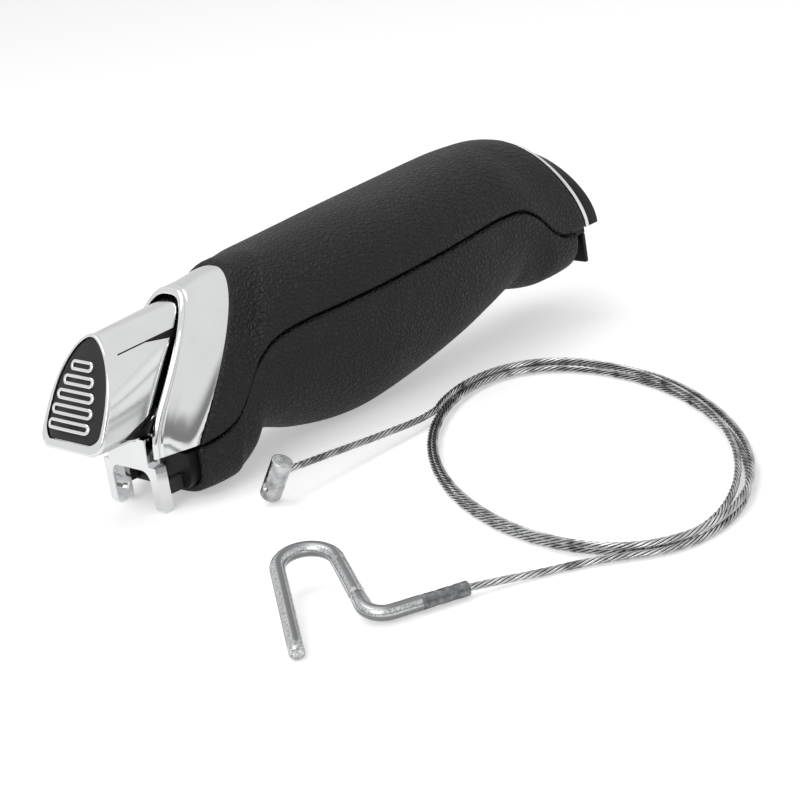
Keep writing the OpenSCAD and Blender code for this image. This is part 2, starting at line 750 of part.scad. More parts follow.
// The apron, seen from the front, with a rounded crotch over the gap between the prongs
module apron_outline() {
    difference() {
        union() {
            translate([-arm_out, apron_foot_z]) square([2 * arm_out, apron_top_z - apron_foot_z]);
            translate([-prong_out, apron_foot_z - crotch_r])
                square([2 * prong_out, shoulder_z - apron_foot_z + crotch_r]);
        }
        translate([crotch_r - prong_in, apron_foot_z - crotch_r]) square([2 * (prong_in - crotch_r), crotch_r]);
        translate([-prong_in, apron_foot_z - 2 * crotch_r]) square([2 * prong_in, crotch_r]);
        for (side = [-1, 1])
            translate([side * (prong_in - crotch_r), apron_foot_z - crotch_r]) circle(crotch_r);
    }
}

module tongue_outline() {
    intersection() {
        cavity_outline(seat_gap);
        polygon([
            [prong_x, apron_top_z - 1], [prong_rear_x, apron_top_z - 1], [prong_rear_x + 0.4, web_z - 0.5],
            [pivot_x + 2.4, web_z], [tongue_rear_x, screw_z - 4], [tongue_rear_x, button_top_z],
            [-8, button_top_z], [-8, screw_z - 6],
        ]);
    }
}

module release_fork() color("#c9cbce") in_frame() difference() {
    union() {
        both_sides() {
            plate(prong_in, prong_out) prong_outline();
            plate(arm_in, arm_out) arm_outline();
            translate([prong_rear_x - flange_t, flange_in, 1]) cube([flange_t, prong_t + 1, shoulder_z - 1]);
        }
        translate([prong_rear_x, 0, 0]) rotate([90, 0, -90]) linear_extrude(prong_depth) apron_outline();
        plate(-arm_in - 0.1, arm_in + 0.1)
            polygon([
                [button_rear_x(web_z) + seat_gap, web_z], [pivot_x + 2.4, web_z],
                [pivot_x + 2.4, web_z + web_t], [button_rear_x(web_z + web_t) + seat_gap, web_z + web_t],
            ]);
        plate(-cavity_half_w + seat_gap, cavity_half_w - seat_gap) tongue_outline();
    }
    bar_y(-prong_out - overcut, prong_out + overcut, pin_d / 2 + pin_clear, pivot_x, pivot_z);
    bar_y(-prong_in, prong_in, nipple_d / 2 + 0.1, prong_x - 0.2, nipple_seat_z);
    bar_x(screw_tip_x, tongue_rear_x + overcut, screw_r + 0.2, 0, screw_z);
}

module button_screw() color("#8f9296") in_frame() {
    bar_x(screw_tip_x, tongue_rear_x + 0.7, screw_r, 0, screw_z);
    bar_x(tongue_rear_x, tongue_rear_x + 1.4, screw_head_r, 0, screw_z);
}

// Barrel nipple, leaning on the lead, with casting dimples: each a turn and a share of the length
dimples = [[157, 0.32], [267, 0.4]];
dimple_r = 0.8;
dimple_depth = 0.55;
module nipple_place() {
    translate(nipple_foot) rotate([nipple_lean[0], 0, nipple_lean[1]]) children();
}

module barrel_nipple() color("#b4b6b9") in_frame() nipple_place() difference() {
    cylinder(h = nipple_length, r = nipple_d / 2);
    for (d = dimples) rotate([0, 0, d[0]])
        translate([nipple_d / 2 + dimple_r - dimple_depth, 0, nipple_length * d[1]]) sphere(dimple_r);
}

// Points of a cable between its route points, on a smooth curve
function route_slope(route, i) =
    let (a = max(i - 1, 0), b = min(i + 1, len(route) - 1))
    (route[b] - route[a]) / (b - a);
function route_point(route, i, t) =
    let (rise = route[i + 1] - route[i], m0 = route_slope(route, i), m1 = route_slope(route, i + 1))
    route[i] + t * (m0 + t * (3 * rise - 2 * m0 - m1 + t * (m0 + m1 - 2 * rise)));
function route_path(route, n) =
    concat(
        [for (i = [0 : len(route) - 2], k = [0 : n - 1]) route_point(route, i, k / n)],
        [route[len(route) - 1]]
    );
function unit(v) = v / norm(v);

// A round tube along the points of a path
module tube(path, d, sides) {
    last = len(path) - 1;
    points = [for (i = [0 : last])
        let (
            along = unit(path[min(i + 1, last)] - path[max(i - 1, 0)]),
            side = unit(cross(along, [0, 0, 1])),
            up = cross(side, along)
        )
        each [for (k = [0 : sides - 1])
            let (a = 360 * k / sides)
            path[i] + d / 2 * (cos(a) * side + sin(a) * up)]];
    walls = [for (i = [0 : last - 1], k = [0 : sides - 1])
        let (a = i * sides + k, b = i * sides + (k + 1) % sides)
        each [[a, b, b + sides], [a, b + sides, a + sides]]];
    start = [for (k = [sides - 1 : -1 : 0]) k];
    end = [for (k = [0 : sides - 1]) last * sides + k];
    polyhedron(points, concat(walls, [start, end]), convexity = 4);
}

module cable_tube(route) {
    tube(route_path(route, tube_rings_per_step), cable_d, tube_sides);
}

module cable_lead() color("#85888b") in_frame() cable_tube(lead_route);

module cable_tail() color("#85888b") in_frame() cable_tube(tail_route);

// Outer shape of the oval coil
module oval(long_r, short_r) {
    polygon([for (i = [0 : 47]) [long_r * cos(7.5 * i), short_r * sin(7.5 * i)]]);
}

module cable_coil() color("#85888b") in_frame()
    translate([coil_centre[0], coil_centre[1], 0]) rotate([0, 0, coil_turn]) linear_extrude(coil_height)
        difference() {
            oval(coil_long_r + coil_half_w, coil_short_r + coil_half_w);
            oval(coil_long_r - coil_half_w, coil_short_r - coil_half_w);
        }

// Points of the hook's middle line in its own plane, from its foot over the arch to the end of its shank
hook_arch_r = hook_inner_r + hook_wire_d / 2;
hook_shank_angle = -3;
function heading(a) = [cos(a), sin(a), 0];
function hook_arc(centre, r, a0, a1, n) = [for (i = [0 : n]) centre + r * heading(mix(a0, a1, i / n))];
arch_start = hook_leg * heading(hook_lean);
arch_centre = arch_start + hook_arch_r * heading(hook_lean - 90);
return_angle = hook_lean - hook_arch_turn;
arch_end = arch_centre + hook_arch_r * heading(return_angle + 90);
bend_start = arch_end + hook_return * heading(return_angle);
bend_centre = bend_start + hook_bend_r * heading(return_angle + 90);
bend_end = bend_centre + hook_bend_r * heading(hook_shank_angle - 90);
shank_end = bend_end + hook_shank * heading(hook_shank_angle);
hook_path = concat(
    [[0, 0, 0], arch_start / 2],
    hook_arc(arch_centre, hook_arch_r, hook_lean + 90, return_angle + 90, 16),
    [(arch_end + bend_start) / 2],
    hook_arc(bend_centre, hook_bend_r, return_angle - 90, hook_shank_angle - 90, 8),
    [shank_end]
);
hook_sides = 14;

module hook_place() {
    translate(hook_foot) rotate([0, 0, hook_turn]) rotate([hook_tilt, 0, 0]) children();
}

module cable_hook() color("#a3a6a9") in_frame() hook_place() tube(hook_path, hook_wire_d, hook_sides);

// Crimped sleeve between the hook and the cable, with two crimp grooves
module hook_ferrule() color("#6f7275") in_frame() hook_place()
    translate(shank_end) rotate([0, 90, hook_shank_angle]) rotate_extrude()
    polygon([
        [0, 0], [ferrule_d / 2, 0], [ferrule_d / 2, ferrule_length * 0.24],
        [ferrule_d * 0.43, ferrule_length * 0.28],
        [ferrule_d * 0.43, ferrule_length * 0.38], [ferrule_d / 2, ferrule_length * 0.42],
        [ferrule_d / 2, ferrule_length * 0.58], [ferrule_d * 0.43, ferrule_length * 0.62],
        [ferrule_d * 0.43, ferrule_length * 0.72], [ferrule_d / 2, ferrule_length * 0.76],
        [ferrule_d / 2, ferrule_length], [0, ferrule_length],
    ]);

core_carrier();
lever_sleeve();
upper_shell();
lower_shell();
upper_leather();
lower_leather();
front_bezel();
rear_ring();
rear_collar();
retaining_clip();
pivot_pin();
pin_retainers();
return_spring();
rest_stop_pads();
cable_guide_bush();
release_button();
face_frame();
face_inlay();
face_ribs();
release_fork();
button_screw();
barrel_nipple();
cable_lead();
cable_coil();
cable_tail();
hook_ferrule();
cable_hook();
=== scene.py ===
"""Looks of a parking brake lever grip with its rocking release button and its loose release cable.

Places are given on the bench, in millimetres: x from the fork's front face, y from the mid-plane and z from
the surface that the grip lies on. on_bench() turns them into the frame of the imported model, in metres.
"""

import json
import logging
import math
from collections.abc import Iterable, Sequence
from dataclasses import dataclass
from enum import Enum

import bmesh
import bpy
import numpy as np
from mathutils import Matrix, Vector


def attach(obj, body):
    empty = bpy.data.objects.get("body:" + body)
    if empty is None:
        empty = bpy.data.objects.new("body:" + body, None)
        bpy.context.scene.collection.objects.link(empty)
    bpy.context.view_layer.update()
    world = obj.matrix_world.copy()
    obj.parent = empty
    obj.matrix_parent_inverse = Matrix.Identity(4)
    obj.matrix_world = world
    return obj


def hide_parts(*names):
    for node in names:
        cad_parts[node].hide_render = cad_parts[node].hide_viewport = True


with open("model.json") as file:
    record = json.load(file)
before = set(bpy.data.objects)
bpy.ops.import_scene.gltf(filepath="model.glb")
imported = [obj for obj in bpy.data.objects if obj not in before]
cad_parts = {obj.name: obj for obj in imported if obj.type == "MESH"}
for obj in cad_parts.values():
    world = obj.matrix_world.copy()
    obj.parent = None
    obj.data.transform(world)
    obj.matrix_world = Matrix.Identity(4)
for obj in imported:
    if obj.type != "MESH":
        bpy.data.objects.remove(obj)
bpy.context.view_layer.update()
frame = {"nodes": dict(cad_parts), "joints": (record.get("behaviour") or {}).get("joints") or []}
LOG = logging.getLogger("grip")

MM = 0.001
JOINED = 2e-6
FLAT = 1e-7
PIN_ON_BENCH = np.array([6.0, 0.0, 15.6])
BENCH_ORIGIN = np.array(frame["joints"][0]["pos_m"]) - PIN_ON_BENCH * MM
Piece = bpy.types.Object
Socket = bpy.types.NodeSocket
Tree = bpy.types.NodeTree
Faces = list[tuple[int, ...]]
Pair = tuple[float, float]
Point = tuple[float, float, float]
Pairs = Sequence[Pair]
Rows = Sequence[Point]


class Body(Enum):
    """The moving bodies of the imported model."""

    GRIP = "grip"
    BUTTON = "button"


class Slot(Enum):
    """The record's material slots."""

    LEATHER = "leather"
    CHROME = "chrome"
    BLACK_PLASTIC = "black_plastic"
    PAD_PLASTIC = "pad_plastic"
    STEEL = "steel"
    ROPE = "rope"
    ZINC = "zinc"
    RUBBER = "rubber"
    NYLON = "nylon"


# Shared geometry


def on_bench(points: Iterable) -> np.ndarray:
    """Turn bench places in millimetres into places in the model's frame in metres."""
    return BENCH_ORIGIN + np.asarray(points, float) * MM


def curve(points: Pairs, u: np.ndarray | float) -> np.ndarray:
    """Look up a smooth curve through points.

    Args:
        points: Pairs of a place and the value there, in rising order of place.
        u: The places to look up.

    Returns:
        The values at those places.
    """
    places = np.array([p[0] for p in points], float)
    values = np.array([p[1] for p in points], float)
    return hermite(places, values, np.asarray(u, float))


def hermite(places: np.ndarray, values: np.ndarray, u: np.ndarray) -> np.ndarray:
    """Interpolate values smoothly between places.

    Args:
        places: Rising places, one for each value.
        values: Numbers or points.
        u: The places to look up.

    Returns:
        The values at u.
    """
    last = len(places) - 1
    before = np.maximum(np.arange(last + 1) - 1, 0)
    after = np.minimum(np.arange(last + 1) + 1, last)
    spread = places[after] - places[before]
    slopes = (values[after] - values[before]) / (spread if values.ndim == 1 else spread[:, None])
    i = np.clip(np.searchsorted(places, u, side="right") - 1, 0, last - 1)
    step = places[i + 1] - places[i]
    t = (u - places[i]) / step
    if values.ndim > 1:
        step, t = step[:, None], t[:, None]
    rise = values[i + 1] - values[i]
    m0, m1 = slopes[i] * step, slopes[i + 1] * step
    return values[i] + t * (m0 + t * (3 * rise - 2 * m0 - m1 + t * (m0 + m1 - 2 * rise)))


def signed_power(v: np.ndarray, e: np.ndarray | float) -> np.ndarray:
    """Raise the size of v to the power e and keep its sign."""
    return np.sign(v) * np.abs(v) ** e


def rolled(distance: np.ndarray, radius: float) -> np.ndarray:
    """Depth of a rounded edge at a distance from it."""
    short = np.clip(1 - distance / radius, 0, 1)
    return radius * (1 - np.sqrt(1 - short * short))


def eased(count: int) -> np.ndarray:
    """Shares from 0 to 1 that lie close together at both ends."""
    return (1 - np.cos(np.linspace(0, math.pi, count))) / 2


def circle(count: int) -> np.ndarray:
    """Angles of points that lie evenly round a circle."""
    return np.linspace(0, 2 * math.pi, count, endpoint=False)


def joined(*parts: np.ndarray | float) -> np.ndarray:
    """Points from their coordinates, which are spread over one shape."""
    return np.stack(np.broadcast_arrays(*parts), axis=-1)


def run_length(points: np.ndarray) -> np.ndarray:
    """Length along a line at each of its points."""
    return np.concatenate([[0], np.cumsum(np.linalg.norm(np.diff(points, axis=0), axis=1))])


def smooth_path(points: np.ndarray, step: float) -> np.ndarray:
    """Points at an even step along a smooth line through given points.

    Args:
        points: The points that the line passes through.
        step: Distance between the points that come back.

    Returns:
        The points along the line.
    """
    knots = run_length(points)
    fine = hermite(knots, points, np.linspace(0, knots[-1], 40 * len(points)))
    along = run_length(fine)
    even = np.linspace(0, along[-1], max(2, round(along[-1] / step) + 1))
    return joined(*(np.interp(even, along, fine[:, k]) for k in range(3)))


def path_frames(path: np.ndarray) -> tuple[np.ndarray, np.ndarray]:
    """Directions across a path that don't twist about it.

    Args:
        path: Points along the path.

    Returns:
        The unit vectors to the path's side and at right angles to both, at each point.
    """
    along = np.gradient(path, axis=0)
    along /= np.linalg.norm(along, axis=1)[:, None]
    side = np.cross(along[0], [0, 0, 1.0])
    sides = []
    for tangent in along:
        side = side - tangent * (side @ tangent)
        side = side / np.linalg.norm(side)
        sides.append(side)
    across = np.array(sides)
    return across, np.cross(across, along)


def add_object(name: str, data: bpy.types.ID) -> Piece:
    """Put a new object into the scene."""
    piece = bpy.data.objects.new(name, data)
    bpy.context.scene.collection.objects.link(piece)
    return piece


def add_mesh(name: str, points: np.ndarray, faces: Faces, crease: float) -> Piece:
    """Make a smooth-shaded mesh object.

    Args:
        name: Name of the piece.
        points: Its points on the bench, in millimetres.
        faces: Its faces, as indices of points.
        crease: Angle in degrees over which an edge stays sharp.

    Returns:
        The new object.
    """
    mesh = bpy.data.meshes.new(name)
    mesh.from_pydata(on_bench(points).tolist(), [], faces)
    shape = bmesh.new()
    shape.from_mesh(mesh)
    bmesh.ops.remove_doubles(shape, verts=shape.verts, dist=JOINED)
    bmesh.ops.dissolve_degenerate(shape, edges=shape.edges, dist=FLAT)
    bmesh.ops.recalc_face_normals(shape, faces=shape.faces)
    shape.to_mesh(mesh)
    shape.free()
    mesh.shade_smooth()
    mesh.set_sharp_from_angle(angle=math.radians(crease))
    return add_object(name, mesh)


def skin(name: str, outer: np.ndarray, inner: np.ndarray, crease: float = 40.0) -> Piece:
    """Make a closed skin between two grids of points.

    Args:
        name: Name of the piece.
        outer: Outer grid, rows by columns by three.
        inner: Inner grid of the same size.
        crease: Angle in degrees over which an edge stays sharp.

    Returns:
        The new object.
    """
    rows, cols = outer.shape[:2]
    under = rows * cols
    faces: Faces = []
    for r in range(rows - 1):
        for c in range(cols - 1):
            a, b = r * cols + c, (r + 1) * cols + c
            faces.append((a, a + 1, b + 1, b))
            faces.append((under + a, under + b, under + b + 1, under + a + 1))
    border = [(0, c, 0, c + 1) for c in range(cols - 1)]
    border += [(rows - 1, c, rows - 1, c + 1) for c in range(cols - 1)]
    border += [(r, 0, r + 1, 0) for r in range(rows - 1)]
    border += [(r, cols - 1, r + 1, cols - 1) for r in range(rows - 1)]
    for r0, c0, r1, c1 in border:
        a, b = r0 * cols + c0, r1 * cols + c1
        faces.append((a, b, under + b, under + a))
    return add_mesh(name, np.concatenate([outer.reshape(-1, 3), inner.reshape(-1, 3)]), faces, crease)


def ring_faces(count: int, around: int, closed: bool, start: int = 0) -> Faces:
    """Faces between the rings of a row.

    Args:
        count: Number of rings.
        around: Points in each ring.
        closed: True where the last ring joins the first.
        start: Index of the first ring's first point.

    Returns:
        The faces.
    """
    faces: Faces = []
    for r in range(count if closed else count - 1):
        a, b = start + r * around, start + ((r + 1) % count) * around
        for c in range(around):
            d = (c + 1) % around
            faces.append((a + c, a + d, b + d, b + c))
    return faces


def ring_stack(name: str, rings: np.ndarray, crease: float = 40.0, closed: bool = False) -> Piece:
    """Make a solid through a row of closed rings.

    Args:
        name: Name of the piece.
        rings: Rings by points by three.
        crease: Angle in degrees over which an edge stays sharp.
        closed: True where the last ring joins the first, False where both ends are capped.

    Returns:
        The new object.
    """
    count, around = rings.shape[:2]
    faces = ring_faces(count, around, closed)
    if not closed:
        faces.append(tuple(range(around)))
        faces.append(tuple(range((count - 1) * around, count * around)))
    return add_mesh(name, rings.reshape(-1, 3), faces, crease)


def tube_rings(path: np.ndarray, radii: np.ndarray | float, angles: np.ndarray) -> np.ndarray:
    """Rings of a tube along a path.

    Args:
        path: Points along the tube's middle.
        radii: Radius at each point of a ring, the same for all rings or one row for each.
        angles: Angle of each point of a ring, likewise.

    Returns:
        The rings.
    """
    across, up = path_frames(path)
    spokes = np.cos(angles)[..., None] * across[:, None] + np.sin(angles)[..., None] * up[:, None]
    return path[:, None] + np.asarray(radii)[..., None] * spokes


def turned(points: np.ndarray, degrees: Sequence[float], shift: Sequence[float]) -> np.ndarray:
    """Turn points about x, then y, then z, and shift them.

    Args:
        points: Points in millimetres.
        degrees: The three angles.
        shift: The shift that follows.

    Returns:
        The moved points, in the shape they came in.
    """
    x, y, z = (math.radians(d) for d in degrees)
    turn = np.array(Matrix.Rotation(z, 3, "Z") @ Matrix.Rotation(y, 3, "Y") @ Matrix.Rotation(x, 3, "X"))
    return points @ turn.T + np.array(shift, float)


# Finishes


class Draft:
    """Adds and joins the nodes of a material or of a node group."""

    def __init__(self, tree: Tree) -> None:
        """Start on a node tree."""
        self.tree = tree

    def add(self, kind: str, inputs: dict[str, object] | None = None, **settings: object) -> bpy.types.Node:
        """Add a node.

        Args:
            kind: Blender's name of the node's type.
            inputs: Values or output sockets for its inputs, by name.
            settings: Properties of the node.

        Returns:
            The new node.
        """
        node = self.tree.nodes.new(kind)
        for key, value in settings.items():
            setattr(node, key, value)
        for key, value in (inputs or {}).items():
            self.put(value, node.inputs[key])
        return node

    def put(self, value: object, socket: Socket) -> None:
        """Link an output to an input, or set the input to a constant."""
        if isinstance(value, Socket):
            self.tree.links.new(value, socket)
        else:
            socket.default_value = value

    def math(self, operation: str, *values: object) -> Socket:
        """Add a Math node and return its result."""
        node = self.add("ShaderNodeMath", operation=operation)
        for socket, value in zip(node.inputs, values):
            self.put(value, socket)
        return node.outputs[0]

    def soft_step(self, value: Socket, low: float, high: float) -> Socket:
        """Add a soft step of a value, from 0 at the low end to 1 at the high end, and return it."""
        ends = {"Value": value, "From Min": low, "From Max": high}
        return self.add("ShaderNodeMapRange", ends, interpolation_type="SMOOTHSTEP").outputs["Result"]

    def ramp(self, factor: Socket, stops: Sequence[tuple[float, Sequence[float]]]) -> Socket:
        """Add a colour ramp.

        Args:
            factor: What the ramp is looked up with.
            stops: Places and colours.

        Returns:
            The ramp's colour.
        """
        node = self.add("ShaderNodeValToRGB", {"Fac": factor})
        elements = node.color_ramp.elements
        while len(elements) < len(stops):
            elements.new(0.5)
        for element, (place, colour) in zip(elements, stops):
            element.position = place
            element.color = (*colour, 1.0)
        return node.outputs["Color"]


def blank_draft(owner: bpy.types.Material | bpy.types.World) -> Draft:
    """Clear the nodes of a material or a world, and start on them."""
    owner.use_nodes = True
    owner.node_tree.nodes.clear()
    return Draft(owner.node_tree)


def new_group(name: str, inputs: dict[str, float], outputs: Sequence[str]) -> tuple[Tree, Draft]:
    """Start a shader node group whose sockets are all numbers.

    Args:
        name: Name of the group.
        inputs: Names and defaults of its inputs.
        outputs: Names of its outputs.

    Returns:
        The group and a draft on it.
    """
    group = bpy.data.node_groups.new(name, "ShaderNodeTree")
    for key, value in inputs.items():
        group.interface.new_socket(key, in_out="INPUT", socket_type="NodeSocketFloat").default_value = value
    for key in outputs:
        group.interface.new_socket(key, in_out="OUTPUT", socket_type="NodeSocketFloat")
    return group, Draft(group)


def mottle_group() -> Tree:
    """Build the group for handling marks: a soft mottle and fine specks, each from 0 to 1."""
    scales = {"Mottle Scale": 120.0, "Speck Scale": 1800.0}
    group, draft = new_group("handling_marks", scales, ["Mottle", "Specks"])
    given = draft.add("NodeGroupInput")
    place = draft.add("ShaderNodeTexCoord").outputs["Object"]
    mottle = draft.add("ShaderNodeTexNoise", {"Vector": place, "Scale": given.outputs[0], "Detail": 4.0})
    specks = draft.add("ShaderNodeTexNoise", {"Vector": place, "Scale": given.outputs[1], "Detail": 2.0})
    ends = {"Value": specks.outputs["Fac"], "From Min": 0.6, "From Max": 0.75}
    sharp = draft.add("ShaderNodeMapRange", ends)
    draft.add("NodeGroupOutput", {"Mottle": mottle.outputs["Fac"], "Specks": sharp.outputs["Result"]})
    return group


def grain_group() -> Tree:
    """Build the group for embossed grain: the height of domed cells with pores, and their valleys."""
    group, draft = new_group("embossed_grain", {"Cell Scale": 1000.0, "Wander": 0.5}, ["Height", "Valleys"])
    given = draft.add("NodeGroupInput")
    place = draft.add("ShaderNodeTexCoord").outputs["Object"]
    warp = draft.add("ShaderNodeTexNoise", {"Vector": place, "Scale": 420.0, "Detail": 3.0}).outputs["Color"]
    centred = draft.add("ShaderNodeVectorMath", {0: warp, 1: (0.5, 0.5, 0.5)}, operation="SUBTRACT")
    amount = draft.math("DIVIDE", given.outputs["Wander"], given.outputs["Cell Scale"])
    shift = draft.add("ShaderNodeVectorMath", {0: centred.outputs[0], "Scale": amount}, operation="SCALE")
    moved = draft.add("ShaderNodeVectorMath", {0: place, 1: shift.outputs[0]}, operation="ADD")
    spread = {"Vector": moved.outputs[0], "Scale": given.outputs["Cell Scale"]}
    cells = draft.add("ShaderNodeTexVoronoi", spread, feature="DISTANCE_TO_EDGE")
    dome = draft.soft_step(cells.outputs["Distance"], 0.0, 0.32)
    pores = draft.add("ShaderNodeTexNoise", {"Vector": place, "Scale": 3600.0, "Detail": 2.0})
    height = draft.math("MULTIPLY_ADD", pores.outputs["Fac"], 0.35, dome)
    draft.add("NodeGroupOutput", {"Height": height, "Valleys": draft.math("SUBTRACT", 1.0, dome)})
    return group


# Mesh attribute that carries painted shade from 0 to 1: shade in the rope's grooves, and light and dark
# reflection bands on the hook.
PAINTED_SHADE_ATTRIBUTE = "recess"
CLEAN, WORN = 0.3, 0.75
VALLEY_WEAR = 0.35
EDGE_STEPS, EDGE_ANGLE = 3, 32
MOTTLE = mottle_group()
GRAIN = grain_group()


@dataclass(frozen=True)
class Finish:
    """A surface finish: a colour that drifts between two tones, with its gloss and its texture.

    Attributes:
        slot: The record's slot that it belongs to.
        tone: Colour of the clean surface.
        worn: Colour where the mottle is strongest, and the colour of painted shade where the finish has it.
        roughness: Roughness of the clean surface.
        drift: How far the mottle raises the roughness.
        metallic: 1 for metal, 0 for the rest.
        mottle_scale: Mottles to a metre.
        speck_scale: Specks to a metre.
        grain_scale: Cells of the embossed grain to a metre, or 0 where there is none.
        relief: Height of the texture in millimetres.
        specular: Strength of the reflection of what isn't metal.
        label: Word that tells finishes of one slot apart.
        painted_shade: True where the mesh carries a mask of painted shade from 0 to 1, which takes the worn
            colour.
    """

    slot: Slot
    tone: Point
    worn: Point
    roughness: float
    drift: float
    metallic: float = 0.0
    mottle_scale: float = 120.0
    speck_scale: float = 1800.0
    grain_scale: float = 0.0
    relief: float = 0.0
    specular: float = 0.5
    label: str = "plain"
    painted_shade: bool = False

    def material(self) -> bpy.types.Material:
        """Build the finish as a Blender material, once."""
        name = f"{self.slot.value}_{self.label}"
        known = bpy.data.materials.get(name)
        if known:
            return known
        material = bpy.data.materials.new(name)
        draft = blank_draft(material)
        scales = {"Mottle Scale": self.mottle_scale, "Speck Scale": self.speck_scale}
        marks = draft.add("ShaderNodeGroup", scales, node_tree=MOTTLE)
        mask, height = self.texture(draft, marks)
        colour = draft.ramp(mask, [(CLEAN, self.tone), (WORN, self.worn)])
        rough = draft.add("ShaderNodeMapRange", {
            "Value": mask, "From Min": CLEAN, "From Max": WORN,
            "To Min": self.roughness, "To Max": self.roughness + self.drift,
        })
        surface = draft.add("ShaderNodeBsdfPrincipled", {
            "Base Color": colour, "Roughness": rough.outputs["Result"],
            "Metallic": self.metallic, "Specular IOR Level": self.specular,
        })
        if self.relief:
            depth = {"Height": height, "Distance": self.relief * MM, "Strength": 1.0}
            draft.put(draft.add("ShaderNodeBump", depth).outputs["Normal"], surface.inputs["Normal"])
        draft.add("ShaderNodeOutputMaterial", {"Surface": surface.outputs["BSDF"]})
        return material

    def texture(self, draft: Draft, marks: bpy.types.Node) -> tuple[Socket, Socket]:
        """Place the grain where there is one, or the painted shade that the mesh carries.

        Args:
            draft: The draft of the material.
            marks: The node with the handling marks.

        Returns:
            The mask between the two tones and the height of the texture.
        """
        # Painted shade from the mesh, or the mottle where it is stronger, picks the worn colour.
        if self.painted_shade:
            recess = draft.add("ShaderNodeAttribute", attribute_name=PAINTED_SHADE_ATTRIBUTE).outputs["Fac"]
            return draft.math("MAXIMUM", recess, marks.outputs["Mottle"]), marks.outputs["Specks"]
        if not self.grain_scale:
            return marks.outputs["Mottle"], marks.outputs["Specks"]
        grain = draft.add("ShaderNodeGroup", {"Cell Scale": self.grain_scale}, node_tree=GRAIN)
        mixed = draft.math("MULTIPLY_ADD", grain.outputs["Valleys"], VALLEY_WEAR, marks.outputs["Mottle"])
        return mixed, grain.outputs["Height"]


LEATHER = Finish(Slot.LEATHER, (0.011, 0.011, 0.0115), (0.006, 0.006, 0.0065), 0.42, 0.14,
                 grain_scale=850.0, relief=0.28, mottle_scale=70.0, specular=0.3)
CHROME = Finish(Slot.CHROME, (0.7, 0.705, 0.71), (0.66, 0.665, 0.67), 0.06, 0.05, metallic=1.0)
SOFT_CHROME = Finish(Slot.CHROME, (0.7, 0.705, 0.71), (0.66, 0.665, 0.67), 0.13, 0.05, metallic=1.0,
                     label="soft")
BLACK_PLASTIC = Finish(Slot.BLACK_PLASTIC, (0.008, 0.008, 0.0085), (0.014, 0.014, 0.015), 0.28, 0.15,
                       grain_scale=5200.0, relief=0.012, specular=0.18)
PAD_PLASTIC = Finish(Slot.PAD_PLASTIC, (0.012, 0.012, 0.0125), (0.018, 0.018, 0.019), 0.5, 0.12,
                     grain_scale=6000.0, relief=0.01, specular=0.3)
STEEL = Finish(Slot.STEEL, (0.56, 0.57, 0.58), (0.42, 0.43, 0.44), 0.28, 0.14, metallic=1.0)
# The rope's dark worn colour is painted shade in the grooves between its strands, mixed with its mottle.
ROPE = Finish(Slot.ROPE, (0.74, 0.745, 0.75), (0.06, 0.06, 0.063), 0.18, 0.2,
              metallic=1.0, mottle_scale=260.0, painted_shade=True)
ZINC = Finish(Slot.ZINC, (0.58, 0.585, 0.59), (0.2, 0.205, 0.21), 0.17, 0.2,
              metallic=1.0, mottle_scale=420.0, relief=0.03)
# The hook's worn colour is painted into bands round the wire: painted reflection, light and dark, mixed with
# its mottle.
ZINC_PAINTED_BANDS = Finish(Slot.ZINC, (0.68, 0.685, 0.69), (0.2, 0.205, 0.21), 0.2, 0.1,
               metallic=1.0, mottle_scale=2600.0, label="drawn", painted_shade=True)
CRIMPED = Finish(Slot.ZINC, (0.24, 0.245, 0.25), (0.08, 0.08, 0.085), 0.26, 0.2,
                 metallic=1.0, mottle_scale=700.0, relief=0.05, label="crimped")
RUBBER = Finish(Slot.RUBBER, (0.018, 0.018, 0.018), (0.03, 0.03, 0.03), 0.7, 0.15,
                grain_scale=4500.0, relief=0.01)
NYLON = Finish(Slot.NYLON, (0.74, 0.73, 0.68), (0.62, 0.61, 0.56), 0.45, 0.1)


def dress(piece: Piece, finish: Finish, body: Body, *nodes: str) -> Piece:
    """Give a new piece its finish, its body and the solids that it stands for.

    Args:
        piece: The new piece.
        finish: Its finish.
        body: The body that it moves with.
        nodes: The solids that it stands for.

    Returns:
        The piece.
    """
    piece.data.materials.clear()
    piece.data.materials.append(finish.material())
    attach(piece, body.value)
    if nodes:
        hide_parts(*nodes)
    LOG.info("%s: %d points", piece.name, len(piece.data.vertices))
    return piece


def paint_shade_mask(piece: Piece, depth: np.ndarray) -> None:
    """Store painted shade on each point of a new piece, from 0 to 1, for a finish that paints it in its worn
    colour.
    """
    piece.data.attributes.new(PAINTED_SHADE_ATTRIBUTE, "FLOAT", "POINT").data.foreach_set("value", depth)


def dress_node(name: str, finish: Finish, edge: float = 0.0) -> Piece:
    """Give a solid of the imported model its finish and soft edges.

    Args:
        name: The solid's name.
        finish: Its finish.
        edge: Width of its rounded edges in millimetres, or 0 to leave them sharp.

    Returns:
        The solid's object.
    """
    node = frame["nodes"][name]
    node.data.materials.clear()
    node.data.materials.append(finish.material())
    if edge:
        weld = node.modifiers.new("joined_points", "WELD")
        weld.merge_threshold = JOINED
        soft = node.modifiers.new("rounded_edges", "BEVEL")
        soft.width = edge * MM
        soft.segments = EDGE_STEPS
        soft.limit_method = "ANGLE"
        soft.angle_limit = math.radians(EDGE_ANGLE)
        soft.harden_normals = True
    LOG.info("%s: dressed", name)
    return node


# The grip


